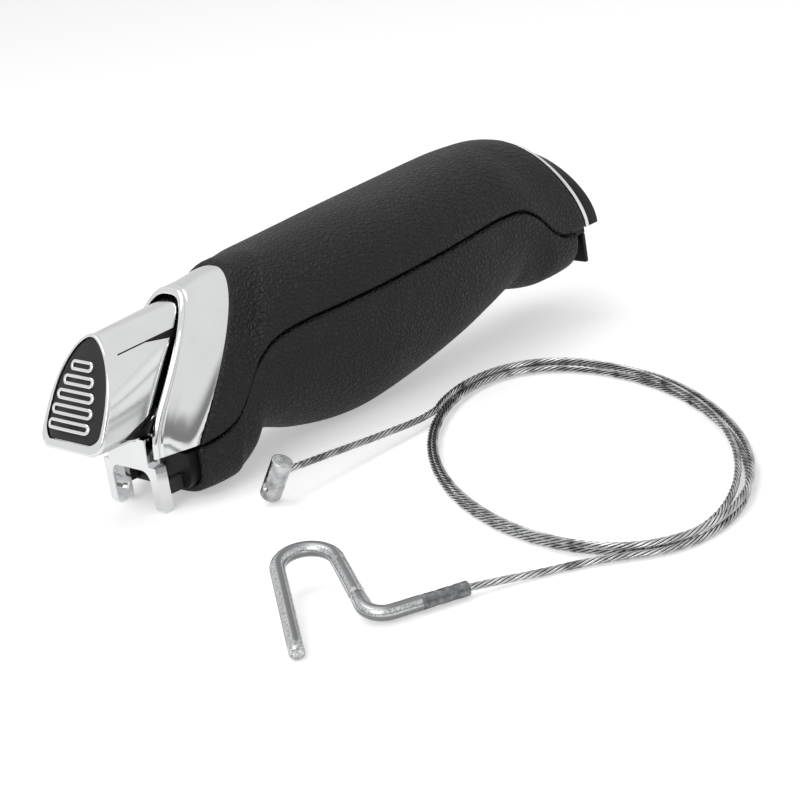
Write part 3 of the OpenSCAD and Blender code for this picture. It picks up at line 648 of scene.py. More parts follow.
@dataclass(frozen=True)
class GripShape:
    """Side curves and sections of the grip, as in the solids, in millimetres."""

    length: float = 123.5
    height: float = 48.0
    width: float = 33.5
    front_x: float = 7.5
    front_slant: float = 35.0
    rear_slant: float = 32.0
    rear_round: float = 10.0
    rear_cut: float = 1.0
    belly_short: float = 3.2
    seam_gap: float = 0.5
    lean_front_z: float = 11.5
    back_exponent: float = 2.3
    top: Pairs = (
        (0.1, 0.912), (0.17, 0.924), (0.31, 0.938), (0.51, 0.964), (0.67, 0.984), (0.8, 1),
        (0.85, 0.996), (0.9, 0.968), (0.95, 0.915), (1, 0.845), (1.06, 0.75),
    )
    seam: Pairs = (
        (0, 0.258), (0.05, 0.27), (0.09, 0.31), (0.12, 0.4), (0.15, 0.505), (0.19, 0.57), (0.25, 0.6),
        (0.4, 0.62), (0.6, 0.656), (0.73, 0.69), (0.785, 0.694), (0.825, 0.68), (0.86, 0.625),
        (0.9, 0.52), (0.93, 0.475), (1, 0.469), (1.06, 0.469),
    )
    bottom: Pairs = (
        (0, 0.026), (0.03, 0.021), (0.07, 0.021), (0.1, 0.029), (0.135, 0.075), (0.16, 0.148), (0.19, 0.138),
        (0.26, 0.071), (0.34, 0.023), (0.415, 0.006), (0.48, 0.017), (0.59, 0.066), (0.69, 0.13),
        (0.76, 0.193), (0.8, 0.234), (0.828, 0.26), (0.855, 0.235), (0.89, 0.217), (0.92, 0.223),
        (0.96, 0.236), (1, 0.256), (1.06, 0.27),
    )
    widths: Pairs = (
        (0, 0.835), (0.19, 0.872), (0.43, 0.985), (0.67, 1), (0.83, 0.98), (1, 0.925), (1.06, 0.915),
    )
    squareness: Pairs = ((0, 4), (0.1, 4), (0.2, 2.9), (0.32, 2.2), (0.8, 2.2), (1, 2.5), (1.06, 2.5))

    @property
    def rear_x(self) -> float:
        """Rear end of the upper leather along its lower edge."""
        return self.front_x + self.length - self.rear_cut

    @property
    def belly_rear_x(self) -> float:
        """Rear end of the lower leather."""
        return self.rear_x - self.belly_short

    def share(self, x: np.ndarray) -> np.ndarray:
        """Share of the grip's length at x."""
        return (x - self.front_x) / self.length

    def leaned(self, x: np.ndarray, z: np.ndarray) -> np.ndarray:
        """Move a section's point along the grip by its lean at the height z."""
        share = self.share(x)
        front, rear = (math.tan(math.radians(slant)) for slant in (self.front_slant, self.rear_slant))
        lean = front * (1 - share) - rear * share
        rear_z = float(curve(self.seam, 1.0)) * self.height
        start_z = self.lean_front_z * (1 - share) + rear_z * share
        rise = np.maximum(0, z - start_z)
        return x + lean * rise * rise / (rise + self.rear_round * np.maximum(0, share) + 1e-9)

    def level(self, line: Pairs, x: np.ndarray) -> np.ndarray:
        """Height at which the leaning section at x meets one of the side curves."""
        z = np.full_like(x, 30.0)
        for _ in range(24):
            z = curve(line, self.share(self.leaned(x, z))) * self.height
        return z

    def half_width(self, x: np.ndarray) -> np.ndarray:
        """Half of the grip's width at x."""
        return curve(self.widths, self.share(x)) * self.width / 2

    def back(self, x: np.ndarray, angle: np.ndarray, depth: np.ndarray | float) -> np.ndarray:
        """Points over the back of the grip.

        Args:
            x: Places of the sections, one for each row.
            angle: Places round a section, from 0 at the near seam to pi at the far seam.
            depth: Depth under the surface of the leather.

        Returns:
            Rows by columns of points.
        """
        x = np.asarray(x, float)[:, None]
        foot = self.level(self.seam, x) + self.seam_gap / 2
        rise = self.level(self.top, x) - depth - foot
        power = 2 / self.back_exponent
        y = -(self.half_width(x) - depth) * signed_power(np.cos(angle), power)
        z = foot + rise * np.abs(np.sin(angle)) ** power
        return joined(self.leaned(x, z), y, z)

    def belly(self, x: np.ndarray, angle: np.ndarray, depth: np.ndarray | float) -> np.ndarray:
        """Points round the belly of the grip.

        Args:
            x: Places of the sections, one for each row.
            angle: Places round a section, from 0 at the far seam to pi at the near seam.
            depth: Depth under the surface of the leather.

        Returns:
            Rows by columns of points.
        """
        x = np.asarray(x, float)[:, None]
        head = self.level(self.seam, x) - self.seam_gap / 2
        drop = head - curve(self.bottom, self.share(x)) * self.height - depth
        power = 2 / curve(self.squareness, self.share(x))
        y = (self.half_width(x) - depth) * signed_power(np.cos(angle), power)
        z = head - drop * np.abs(np.sin(angle)) ** power
        return joined(self.leaned(x, z), y, z)


GRIP = GripShape()


@dataclass
class LeatherCover:
    """The two leather covers, with rolled edges along the seam and at both ends.

    Attributes:
        thickness: Thickness of the leather.
        seam_roll: Radius of the edge along the seam.
        end_roll: Radius of the edge at the front and the rear.
        rows: Sections along the grip.
        columns: Points round half a section.
    """

    thickness: float = 1.2
    seam_roll: float = 1.0
    end_roll: float = 0.8
    rows: int = 150
    columns: int = 40

    def stations(self, rear_x: float) -> np.ndarray:
        """Places of the sections up to the rear end, close together at both ends."""
        near = self.end_roll * np.array([0, 0.04, 0.15, 0.35, 0.65, 1.0])
        middle = np.linspace(GRIP.front_x + 2, rear_x - 2, self.rows)
        return np.concatenate([GRIP.front_x + near, middle, (rear_x - near)[::-1]])

    def angles(self) -> np.ndarray:
        """Places round a section, close together at both seams."""
        start = np.radians([0, 0.05, 0.2, 0.6, 1.2, 2.0, 3.0, 4.2, 5.6])
        middle = np.linspace(math.radians(7.5), math.pi / 2, self.columns)
        half = np.concatenate([start, middle])
        return np.concatenate([half, math.pi - half[-2::-1]])

    def build(self) -> None:
        """Make both covers."""
        for name, surface, rear_x, node in (
            ("leather_back", GRIP.back, GRIP.rear_x, "upper_leather"),
            ("leather_belly", GRIP.belly, GRIP.belly_rear_x, "lower_leather"),
        ):
            x, angle = self.stations(rear_x), self.angles()
            plain = surface(x, angle, 0.0)
            from_seam = np.minimum(
                np.linalg.norm(plain - plain[:, :1], axis=2), np.linalg.norm(plain - plain[:, -1:], axis=2)
            )
            from_end = np.minimum(x - GRIP.front_x, rear_x - x)[:, None]
            depth = np.maximum(rolled(from_seam, self.seam_roll), rolled(from_end, self.end_roll))
            cover = skin(name, surface(x, angle, depth), surface(x, angle, self.thickness), crease=55.0)
            dress(cover, LEATHER, Body.GRIP, node)


@dataclass
class ChromeBezel:
    """The chrome nose round the button, from its beaded lip to its tail under the leather.

    Attributes:
        wall: Wall of the bezel.
        tuck: Length under the leather.
        under: Depth of the tail under the leather's surface.
        foot_z: Height of its lower edge.
        lip_top: Place of the lip's top, x and z.
        lip_half_w: Half of the lip's width at its foot.
        lip_lean: Slope of the lip.
        lip_bend: Upright bend of the lip near its foot.
        bend_z: Height below which the lip bends.
        lip_exponent: Squareness of the lip's arch.
        swell: Fullness between lip and tail.
        flush: Rise towards the leather's surface at its front edge.
        flush_from: Share of the way to the leather at which that rise begins.
        step_short: Share by which it ends before the leather.
        bead: Depth of the lip's bead and groove, by the share of the way to the tail.
        thin_lip: Wall at the lip, and the share of the way at which the wall is full.
    """

    wall: float = 1.0
    tuck: float = 3.0
    under: float = 1.5
    foot_z: float = 12.0
    lip_top: Pair = (17.65, 42.22)
    lip_half_w: float = 8.7
    lip_lean: float = 0.7152
    lip_bend: float = 0.036
    bend_z: float = 22.0
    lip_exponent: float = 3.2
    swell: float = 0.22
    flush: float = 0.6
    flush_from: float = 0.3
    step_short: float = 0.015
    bead: Pairs = (
        (0, 0.5), (0.008, 0.22), (0.02, 0.02), (0.035, -0.1), (0.055, -0.1), (0.075, 0.06), (0.1, 0.14),
        (0.13, 0),
    )
    thin_lip: Pair = (0.62, 0.02)

    def lip(self, angle: np.ndarray, depth: np.ndarray) -> np.ndarray:
        """Points of the lip at a depth under its surface."""
        power = 2 / self.lip_exponent
        y = -(self.lip_half_w - depth) * signed_power(np.cos(angle), power)
        z = self.foot_z + (self.lip_top[1] - depth - self.foot_z) * np.abs(np.sin(angle)) ** power
        low = np.maximum(0, self.bend_z - z)
        x = self.lip_top[0] - self.lip_lean * (self.lip_top[1] - z) + self.lip_bend * low * low
        return joined(x, y, z)

    def surface(self, shares: np.ndarray, angle: np.ndarray, depth: np.ndarray) -> np.ndarray:
        """Points of the bezel.

        Args:
            shares: Shares of the way from the lip to the tail.
            angle: Places round the bezel.
            depth: Depth under its surface, shares by places.

        Returns:
            Rows by columns of points.
        """
        rows = []
        for t, d in zip(shares, depth):
            lip = self.lip(angle, d)
            tail = GRIP.back(np.array([GRIP.front_x + self.tuck]), angle, self.under + d)[0]
            fuller = self.swell * math.sin(math.pi * t) * (tail - lip)
            fuller[:, 0] = 0
            rows.append(lip + (tail - lip) * t + fuller)
        return np.array(rows)

    def rise(self, shares: np.ndarray, angle: np.ndarray) -> np.ndarray:
        """Height by which the bezel swells up to the leather's edge, where it steps down under it."""
        lip = self.lip(angle, np.zeros_like(angle))[:, 0]
        edge = GRIP.back(np.array([GRIP.front_x]), angle, 0.0)[0, :, 0]
        tail = GRIP.back(np.array([GRIP.front_x + self.tuck]), angle, self.under)[0, :, 0]
        meets = (edge - lip) / (tail - lip) - self.step_short
        along = np.clip((shares[:, None] / meets - self.flush_from) / (1 - self.flush_from), 0, 1)
        return np.where(shares[:, None] < meets, self.flush * along * along * (3 - 2 * along), 0)

    def build(self) -> None:
        """Make the bezel with a bead and a fine groove along its lip."""
        bead_end = self.bead[-1][0]
        shares = np.concatenate([np.linspace(0, 0.14, 22), np.linspace(0.15, 1, 90)])
        angle = np.linspace(0, math.pi, 141)
        edge = np.where(shares < bead_end, curve(self.bead, np.minimum(shares, bead_end)), 0)[:, None]
        outer = self.surface(shares, angle, edge - self.rise(shares, angle))
        thin, full = self.thin_lip
        wall = np.where(shares < full, thin + (self.wall - thin) * shares / full, self.wall)[:, None]
        nose = skin("chrome_bezel", outer, self.surface(shares, angle, wall + 0 * angle), 45.0)
        dress(nose, CHROME, Body.GRIP, "front_bezel")


@dataclass
class RearTrim:
    """The chrome arch and the black collar behind the leather.

    Attributes:
        ring_x: Front and rear of the arch along its lower edge.
        collar_x: Front and rear of the collar.
        depth: Depth of both, inward from the leather.
        collar_under: Depth of the collar's surface under the leather's.
        collar_sink: How much deeper the collar lies at its top.
        roll: Radius of their edges.
        shade_block_x: Front and rear of the black blocks beside the clip, painted shade that fills the gap
            between its ears and the collar.
        shade_block_y: Inner and outer side of the near block, from the mid-plane.
        shade_block_z: Lower and upper edge of the blocks.
    """

    ring_x: Pair = (130.1, 131.3)
    collar_x: Pair = (131.4, 134.8)
    depth: float = 3.2
    collar_under: float = 0.3
    collar_sink: float = 1.5
    roll: float = 0.4
    shade_block_x: Pair = (127.1, 133.6)
    shade_block_y: Pair = (10.4, 11.4)
    shade_block_z: Pair = (19.92, 22.6)

    def arch(self, name: str, span: Pair, top: float, sink: float) -> Piece:
        """Make one arch.

        Args:
            name: Name of the piece.
            span: Its front and rear.
            top: Depth of its surface under the leather's.
            sink: How much deeper it lies at its top.

        Returns:
            The piece.
        """
        near = self.roll * np.array([0, 0.05, 0.2, 0.5, 1.0])
        x = np.concatenate([span[0] + near, (span[1] - near)[::-1]])
        edge = rolled(np.minimum(x - span[0], span[1] - x), self.roll)[:, None]
        angle = np.linspace(0, math.pi, 121)
        outer = top + sink * np.sin(angle) ** 2 + edge
        return skin(name, GRIP.back(x, angle, outer), GRIP.back(x, angle, top + self.depth), 50.0)

    def build_shade_block(self, name: str, side: int) -> None:
        """Make one black block of painted shade beside the clip.

        Args:
            name: Name of the piece.
            side: 1 for the near side, -1 for the far side.
        """
        a = circle(32)
        y = -side * (np.mean(self.shade_block_y) + np.ptp(self.shade_block_y) / 2 * signed_power(np.cos(a), 0.4))
        z = np.mean(self.shade_block_z) + np.ptp(self.shade_block_z) / 2 * signed_power(np.sin(a), 0.4)
        rings = np.array([joined(x, y, z) for x in self.shade_block_x])
        dress(ring_stack(name, rings), BLACK_PLASTIC, Body.GRIP)

    def build(self) -> None:
        """Make the arch, the collar and the black blocks of painted shade beside the clip."""
        dress(self.arch("chrome_arch", self.ring_x, 0.0, 0.0), CHROME, Body.GRIP, "rear_ring")
        collar = self.arch("black_collar", self.collar_x, self.collar_under, self.collar_sink)
        dress(collar, BLACK_PLASTIC, Body.GRIP, "rear_collar")
        # Black blocks of painted shade where the clip's shadow fills the gap up to the collar.
        self.build_shade_block("near_shade_block", 1)
        self.build_shade_block("far_shade_block", -1)


@dataclass
class Beak:
    """The chrome button: a loft from its leaf-shaped face to its square rear, with a groove on each side.

    Attributes:
        foot: Foot of the face, x and z.
        slant: Slant of the face in degrees.
        length: Length of the face.
        half_w: Half of the face's greatest width.
        shoulder: Height of the face's widest place.
        rear_foot: Rear foot, x and z.
        rear_top: Rear top, x and z.
        rear_half_w: Half of the rear's width at its foot.
        ridge: Least half width, along the top.
        tip_powers: Powers that round the face from its shoulder to its tip.
        foot_power: Power that rounds it from its shoulder to its foot.
        foot_drop: How far that rounding runs on below the foot.
        rear_taper: How much narrower the rear is at its top.
        rear_powers: Powers that square the rear.
        rear_toe: Share of the rear's width at its foot, and share of the height where it is full.
        groove: Rows of the groove on each side, a line that opens into a wedge. A row is a share of the way
            back, then the lower and the upper share of the height.
        hollow: Rows of the hollow at the lower rear corner of each side.
        recess_depth: Depth of both.
        recess_lead: Share of the way in which a recess gets to its depth.
        strip_under: Depth of the black strips in them: painted shade, dark pieces laid where the recesses
            fall into shade.
        strip_ends: How far behind the recess a strip begins, and where it ends, as shares of the way back.
        strip_gap: Gap over and under a strip, as a share of the height.
        strip_seat: Gap behind a strip.
        steps: Points up a ring below the hollow, below the groove and over it, and in a recess.
    """

    foot: Pair = (-14.3, 17.5)
    slant: float = 28.0
    length: float = 24.6
    half_w: float = 10.2
    shoulder: float = 4.0
    rear_foot: Pair = (1.3, 16.5)
    rear_top: Pair = (18.249, 40.221)
    rear_half_w: float = 6.8
    ridge: float = 0.3
    tip_powers: Pair = (2.2, 0.6)
    foot_power: float = 3.0
    foot_drop: float = 0.6
    rear_taper: float = 1.4
    rear_powers: Pair = (9.0, 0.34)
    rear_toe: Pair = (0.86, 0.05)
    groove: Rows = ((0.12, 0.808, 0.82), (0.5, 0.808, 0.82), (0.75, 0.769, 0.82), (1.05, 0.722, 0.82))
    hollow: Rows = (
        (0.42, 0.075, 0.08), (0.55, 0.045, 0.13), (0.7, 0.02, 0.16), (0.85, 0.012, 0.22), (1.05, 0.012, 0.33),
    )
    recess_depth: float = 0.6
    recess_lead: float = 0.04
    strip_under: float = 0.22
    strip_ends: Pair = (0.03, 0.99)
    strip_gap: float = 0.001
    strip_seat: float = 0.02
    steps: tuple[int, int, int, int] = (14, 44, 18, 3)

    def leaf_half_w(self, v: np.ndarray, half_w: float, length: float) -> np.ndarray:
        """Half of the leaf's width at the height v over its foot."""
        upper = np.clip((v - self.shoulder) / (length - self.shoulder), 0, 1)
        lower = np.clip((self.shoulder - v) / (self.shoulder + self.foot_drop), 0, 1)
        tip = (1 - upper ** self.tip_powers[0]) ** self.tip_powers[1]
        foot = (1 - lower**self.foot_power) ** (1 / self.foot_power)
        return half_w * np.where(v > self.shoulder, tip, foot)

    def recess(self, rows: Rows, t: float) -> Point:
        """Lower edge, upper edge and depth of a recess at a share of the way back."""
        places, low, high = np.array(rows).T
        depth = self.recess_depth * min(1.0, max(0.0, (t - places[0]) / self.recess_lead))
        return float(np.interp(t, places, low)), float(np.interp(t, places, high)), depth

    def near_side(self, t: float, f: np.ndarray) -> np.ndarray:
        """Points of the near side.

        Args:
            t: Share of the way from the face to the rear.
            f: Shares of the height.

        Returns:
            One point for each share of the height.
        """
        slant = math.radians(self.slant)
        front_x = self.foot[0] + f * self.length * math.sin(slant)
        front_z = self.foot[1] + f * self.length * math.cos(slant)
        front_y = np.maximum(self.ridge, self.leaf_half_w(f * self.length, self.half_w, self.length))
        power, corner = self.rear_powers
        square = (self.rear_half_w - self.rear_taper * f) * (1 - f**power) ** corner
        toe, full = self.rear_toe
        rear_y = np.maximum(self.ridge, square * np.where(f < full, toe + (1 - toe) / full * f, 1))
        rear_x = self.rear_foot[0] + (self.rear_top[0] - self.rear_foot[0]) * f
        rear_z = self.rear_foot[1] + (self.rear_top[1] - self.rear_foot[1]) * f
        front = joined(front_x, -front_y, front_z)
        return front + (joined(rear_x, -rear_y, rear_z) - front) * t

    def ring(self, t: float) -> np.ndarray:
        """Closed ring of points at a share of the way from the face to the rear."""
        levels, cuts, foot = [], [], 0.0
        below, between, over, within = self.steps
        for rows, count in ((self.hollow, below), (self.groove, between)):
            low, high, depth = self.recess(rows, t)
            levels += [foot + (low - foot) * eased(count), np.linspace(low, high, within)]
            cuts += [np.zeros(count), np.full(within, depth)]
            foot = high
        levels.append(foot + (1 - foot) * eased(over))
        cuts.append(np.zeros(over))
        near = self.near_side(t, np.clip(np.concatenate(levels), 0, 1))
        near[:, 1] += np.concatenate(cuts)
        return np.concatenate([near, (near * [1, -1, 1])[::-1]])

    def build_shade_strip(self, name: str, rows: Rows, side: int) -> None:
        """Make the black strip of painted shade in one recess.

        Args:
            name: Name of the piece.
            rows: Rows of the recess.
            side: 1 for the near side, -1 for the far side.
        """
        rings = []
        behind, end = self.strip_ends
        for t in np.linspace(rows[0][0] + behind, end, 40):
            low, high, _ = self.recess(rows, t)
            low, high = low + self.strip_gap, high - self.strip_gap
            section = self.near_side(t, np.array([low, high, high, low]))
            section[:, 1] += np.repeat([self.strip_under, self.recess_depth - self.strip_seat], 2)
            rings.append(section * [1, side, 1])
        dress(ring_stack(name, np.array(rings)), BLACK_PLASTIC, Body.BUTTON)

    def build(self) -> None:
        """Make the beak and the black strips of painted shade in its recesses."""
        shares = np.concatenate([np.linspace(0, 0.94, 48), [0.97, 0.985, 0.995, 1.0]])
        beak = ring_stack("chrome_beak", np.array([self.ring(t) for t in shares]), 38.0)
        dress(beak, SOFT_CHROME, Body.BUTTON, "release_button")
        # Black strips of painted shade fill the groove and the hollow on each side.
        for name, side in (("near", 1), ("far", -1)):
            self.build_shade_strip(name + "_groove_shade_strip", self.groove, side)
            self.build_shade_strip(name + "_hollow_shade_strip", self.hollow, side)


BEAK = Beak()


@dataclass
class Face:
    """The front of the beak: a chrome rim, a black pad and five chrome loops.

    Attributes:
        rim: Width of the rim.
        chin: Height of the rim below the pad.
        crown: Rise of the crowned face.
        tilt: Slope in degrees by which the crown fades towards the tip.
        edge: Least thickness of the pad's edge.
        tip_inset: How far the tip of an inset leaf comes down, as a share of the inset.
        pad_gap: Gap between the rim and the pad.
        pad_middle: Height of the pad's middle, as a share of the face's length.
        pad_drop: Drop of the pad's softened edge.
        pad_soft: Share of the way from the pad's middle at which that drop begins.
        floor: Thickness of the rim's back plate.
        loops: Number of loops.
        loop_rise: Height of the loops over the pad.
        loop_foot: Height of the lowest loop's middle on the face.
        loop_room: Length of the face that holds no loops.
        loop_rows: How many pitches the rest of the face holds.
        loop_h: Height of a loop as a share of the pitch.
        slot_h: Height of its slot as a share of the pitch.
        loop_l: Length of the longest loop as a share of the face's width there.
        loop_taper: How much of that share the shortest loop loses, and the power by which it goes.
        loop_shift: How far the loops lie off the middle, as a share of half the face's width.
        loop_power: Power that squares the section of a loop.
        loop_sink: Depth of the loops' feet in the pad.
        rim_rise: Height of the rim over the pad's crown.
        rim_profile: Section of the rim, as shares across it and up it.
    """

    rim: float = 1.2
    chin: float = 2.0
    crown: float = 2.0
    tilt: float = 3.7
    edge: float = 0.5
    tip_inset: float = 0.6
    pad_gap: float = 0.2
    pad_middle: float = 0.46
    pad_drop: float = 0.25
    pad_soft: float = 0.955
    floor: float = 0.2
    loops: int = 5
    loop_rise: float = 0.6
    loop_foot: float = 5.2
    loop_room: float = 4.0
    loop_rows: float = 6.6
    loop_h: float = 0.78
    slot_h: float = 0.26
    loop_l: float = 0.7
    loop_taper: Pair = (0.2, 2.2)
    loop_shift: float = 0.1
    loop_power: float = 0.6
    loop_sink: float = 0.02
    rim_rise: float = 0.3
    rim_profile: Pairs = (
        (0, 0.0), (0, 0.5), (0.08, 0.82), (0.22, 0.96), (0.45, 1.0), (0.7, 1.0), (0.9, 0.97), (1, 0.85),
        (1, 0.0),
    )

    def crowned(self, x: np.ndarray, v: np.ndarray, rise: float) -> np.ndarray:
        """Height of the crowned face at a place across it and up it."""
        radius = (BEAK.half_w**2 + self.crown**2) / (2 * self.crown)
        tilt = math.radians(self.tilt)
        arch = np.sqrt(np.maximum(0, (radius + rise) ** 2 - x * x)) / math.cos(tilt)
        return np.maximum(self.crown - radius - (v + 1) * math.tan(tilt) + arch, self.edge + rise)

    def placed(self, points: np.ndarray) -> np.ndarray:
        """Put points given across, up and out of the face on the bench."""
        slant = math.radians(BEAK.slant)
        across, up, out = points[..., 0], points[..., 1], points[..., 2]
        x = BEAK.foot[0] + up * math.sin(slant) - out * math.cos(slant)
        z = BEAK.foot[1] + up * math.cos(slant) + out * math.sin(slant)
        return joined(x, across, z)

    def outline(self, inset: float, foot: float) -> np.ndarray:
        """Closed outline of a leaf inset from the edge of the face, with its foot at a height."""
        length = BEAK.length - foot - self.tip_inset * inset
        v = length * eased(71)
        w = BEAK.leaf_half_w(v, BEAK.half_w - inset, length)
        right = joined(w, v + foot)
        return np.concatenate([right, (right * [-1, 1])[-2:0:-1]])

    def build_rim(self) -> None:
        """Make the rim with a rounded top and a chin."""
        outside, inside = self.outline(0.0, 0.0), self.outline(self.rim, self.chin)
        loops = []
        for across, up in self.rim_profile:
            line = outside + (inside - outside) * across
            top = self.crowned(line[:, 0], line[:, 1], self.rim_rise)
            foot = 0.0 if across < 0.5 else self.floor
            loops.append(np.column_stack([line, foot + (top - foot) * up]))
        rim = ring_stack("face_rim", self.placed(np.array(loops)), 40.0, closed=True)
        dress(rim, CHROME, Body.BUTTON, "face_frame")

    def build_pad(self) -> None:
        """Make the black pad with a softened edge."""
        line = self.outline(self.rim + self.pad_gap, self.chin + self.pad_gap)
        shares = np.concatenate([[1.0, 0.995, 0.98, self.pad_soft], np.linspace(0.92, 0.02, 24)])
        centre = np.array([0.0, BEAK.length * self.pad_middle])
        top = []
        for s in shares:
            ring = centre + (line - centre) * s
            drop = self.pad_drop * max(0.0, (s - self.pad_soft) / (1 - self.pad_soft)) ** 2
            top.append(np.column_stack([ring, self.crowned(ring[:, 0], ring[:, 1], 0.0) - drop]))
        back = np.column_stack([line, np.full(len(line), self.floor)])
        pad = ring_stack("face_pad", self.placed(np.array([back, *top])), 50.0)
        dress(pad, PAD_PLASTIC, Body.BUTTON, "face_inlay")

    def build_loops(self) -> None:
        """Make the loops, short at the tip and long at the foot."""
        pitch = (BEAK.length - self.loop_room) / self.loop_rows
        outer_h, slot_h = pitch * self.loop_h, pitch * self.slot_h
        band = (outer_h - slot_h) / 2
        shorter, power = self.loop_taper
        parts = []
        for i in range(self.loops):
            v = self.loop_foot + (self.loops - 1 - i) * pitch
            wide = float(BEAK.leaf_half_w(np.array(v), BEAK.half_w, BEAK.length))
            half_l = wide * (self.loop_l - shorter * (1 - i / (self.loops - 1)) ** power)
            parts.append(self.loop(half_l, outer_h, band, np.array([self.loop_shift * wide, v])))
        count, around = parts[0].shape[:2]
        faces: Faces = []
        for k in range(self.loops):
            faces += ring_faces(count, around, True, k * count * around)
        points = self.placed(np.concatenate(parts)).reshape(-1, 3)
        dress(add_mesh("face_loops", points, faces, 40.0), CHROME, Body.BUTTON, "face_ribs")

    def loop(self, half_l: float, height: float, band: float, place: np.ndarray) -> np.ndarray:
        """One stadium-shaped loop with a rounded top.

        Args:
            half_l: Half of its length.
            height: Its outer height.
            band: Width of its band.
            place: Its middle, across the face and up it.

        Returns:
            Rings by points, given across, up and out of the face.
        """
        r = height / 2 - band / 2
        straight = half_l - height / 2
        turn = np.linspace(-math.pi / 2, math.pi / 2, 17)
        round_end = joined(np.cos(turn), np.sin(turn))
        right = [straight, 0] + r * round_end
        top = joined(np.linspace(straight, -straight, 18)[1:-1], r)
        middle = np.concatenate([right, top, -right, -top])
        upward = np.tile([0.0, 1.0], (len(top), 1))
        out = np.concatenate([round_end, upward, -round_end, -upward])
        rings = []
        section = np.linspace(math.pi, 0, 13)
        sides = signed_power(np.cos(section), self.loop_power)
        for side, rise in zip(sides, np.abs(np.sin(section)) ** self.loop_power):
            line = place + middle + out * band / 2 * side
            out_there = self.crowned(line[:, 0], line[:, 1], 0.0) + self.loop_rise * rise - self.loop_sink
            rings.append(np.column_stack([line, out_there]))
        return np.array(rings)

    def build(self) -> None:
        """Make the rim, the pad and the loops."""
        self.build_rim()
        self.build_pad()
        self.build_loops()


@dataclass
class Works:
    """The pieces that stay as solids, and the return spring's wire.

    Attributes:
        spring_wire: Diameter of the spring's wire.
        spring_inner_r: Inner radius of its coil.
        spring_half_l: Half of its coil's length.
        spring_turns: Turns of its coil.
        lower_leg: Places on the leg on the carrier, rearward from the coil.
        upper_leg: Places on the leg under the fork's web, downward from the coil.
    """

    spring_wire: float = 0.8
    spring_inner_r: float = 1.55
    spring_half_l: float = 3.67
    spring_turns: int = 8
    lower_leg: Pair = (5.6, 3.0)
    upper_leg: Pair = (0.8, 2.1)

    def build_spring(self) -> None:
        """Wind the spring round the pin, with one leg on the carrier and one under the fork's web."""
        middle_r = self.spring_inner_r + self.spring_wire / 2
        reach = self.spring_half_l - self.spring_wire / 2
        a = np.linspace(0, 2 * math.pi * (self.spring_turns + 0.25), 24 * self.spring_turns)
        y = np.linspace(-reach, reach, len(a))
        coil = PIN_ON_BENCH + joined(-middle_r * np.sin(a), y, -middle_r * np.cos(a))
        lower = coil[0] + np.outer(self.lower_leg, [1.0, 0, 0])
        upper = coil[-1] + np.outer(self.upper_leg, [0, 0, -1.0])
        path = np.concatenate([lower, coil, upper])
        wire = ring_stack("spring_wire", tube_rings(path, self.spring_wire / 2, circle(10)))
        dress(wire, STEEL, Body.GRIP, "return_spring")

    def build(self) -> None:
        """Dress the solids."""
        for name, finish, edge in (
            ("core_carrier", BLACK_PLASTIC, 0.5), ("upper_shell", BLACK_PLASTIC, 0.0),
            ("lower_shell", BLACK_PLASTIC, 0.0), ("lever_sleeve", STEEL, 0.2),
            ("retaining_clip", BLACK_PLASTIC, 0.25), ("pivot_pin", STEEL, 0.2),
            ("pin_retainers", STEEL, 0.12), ("rest_stop_pads", RUBBER, 0.3),
            ("cable_guide_bush", NYLON, 0.2), ("release_fork", CHROME, 0.45), ("button_screw", STEEL, 0.2),
        ):
            dress_node(name, finish, edge)
        self.build_spring()


# The cable


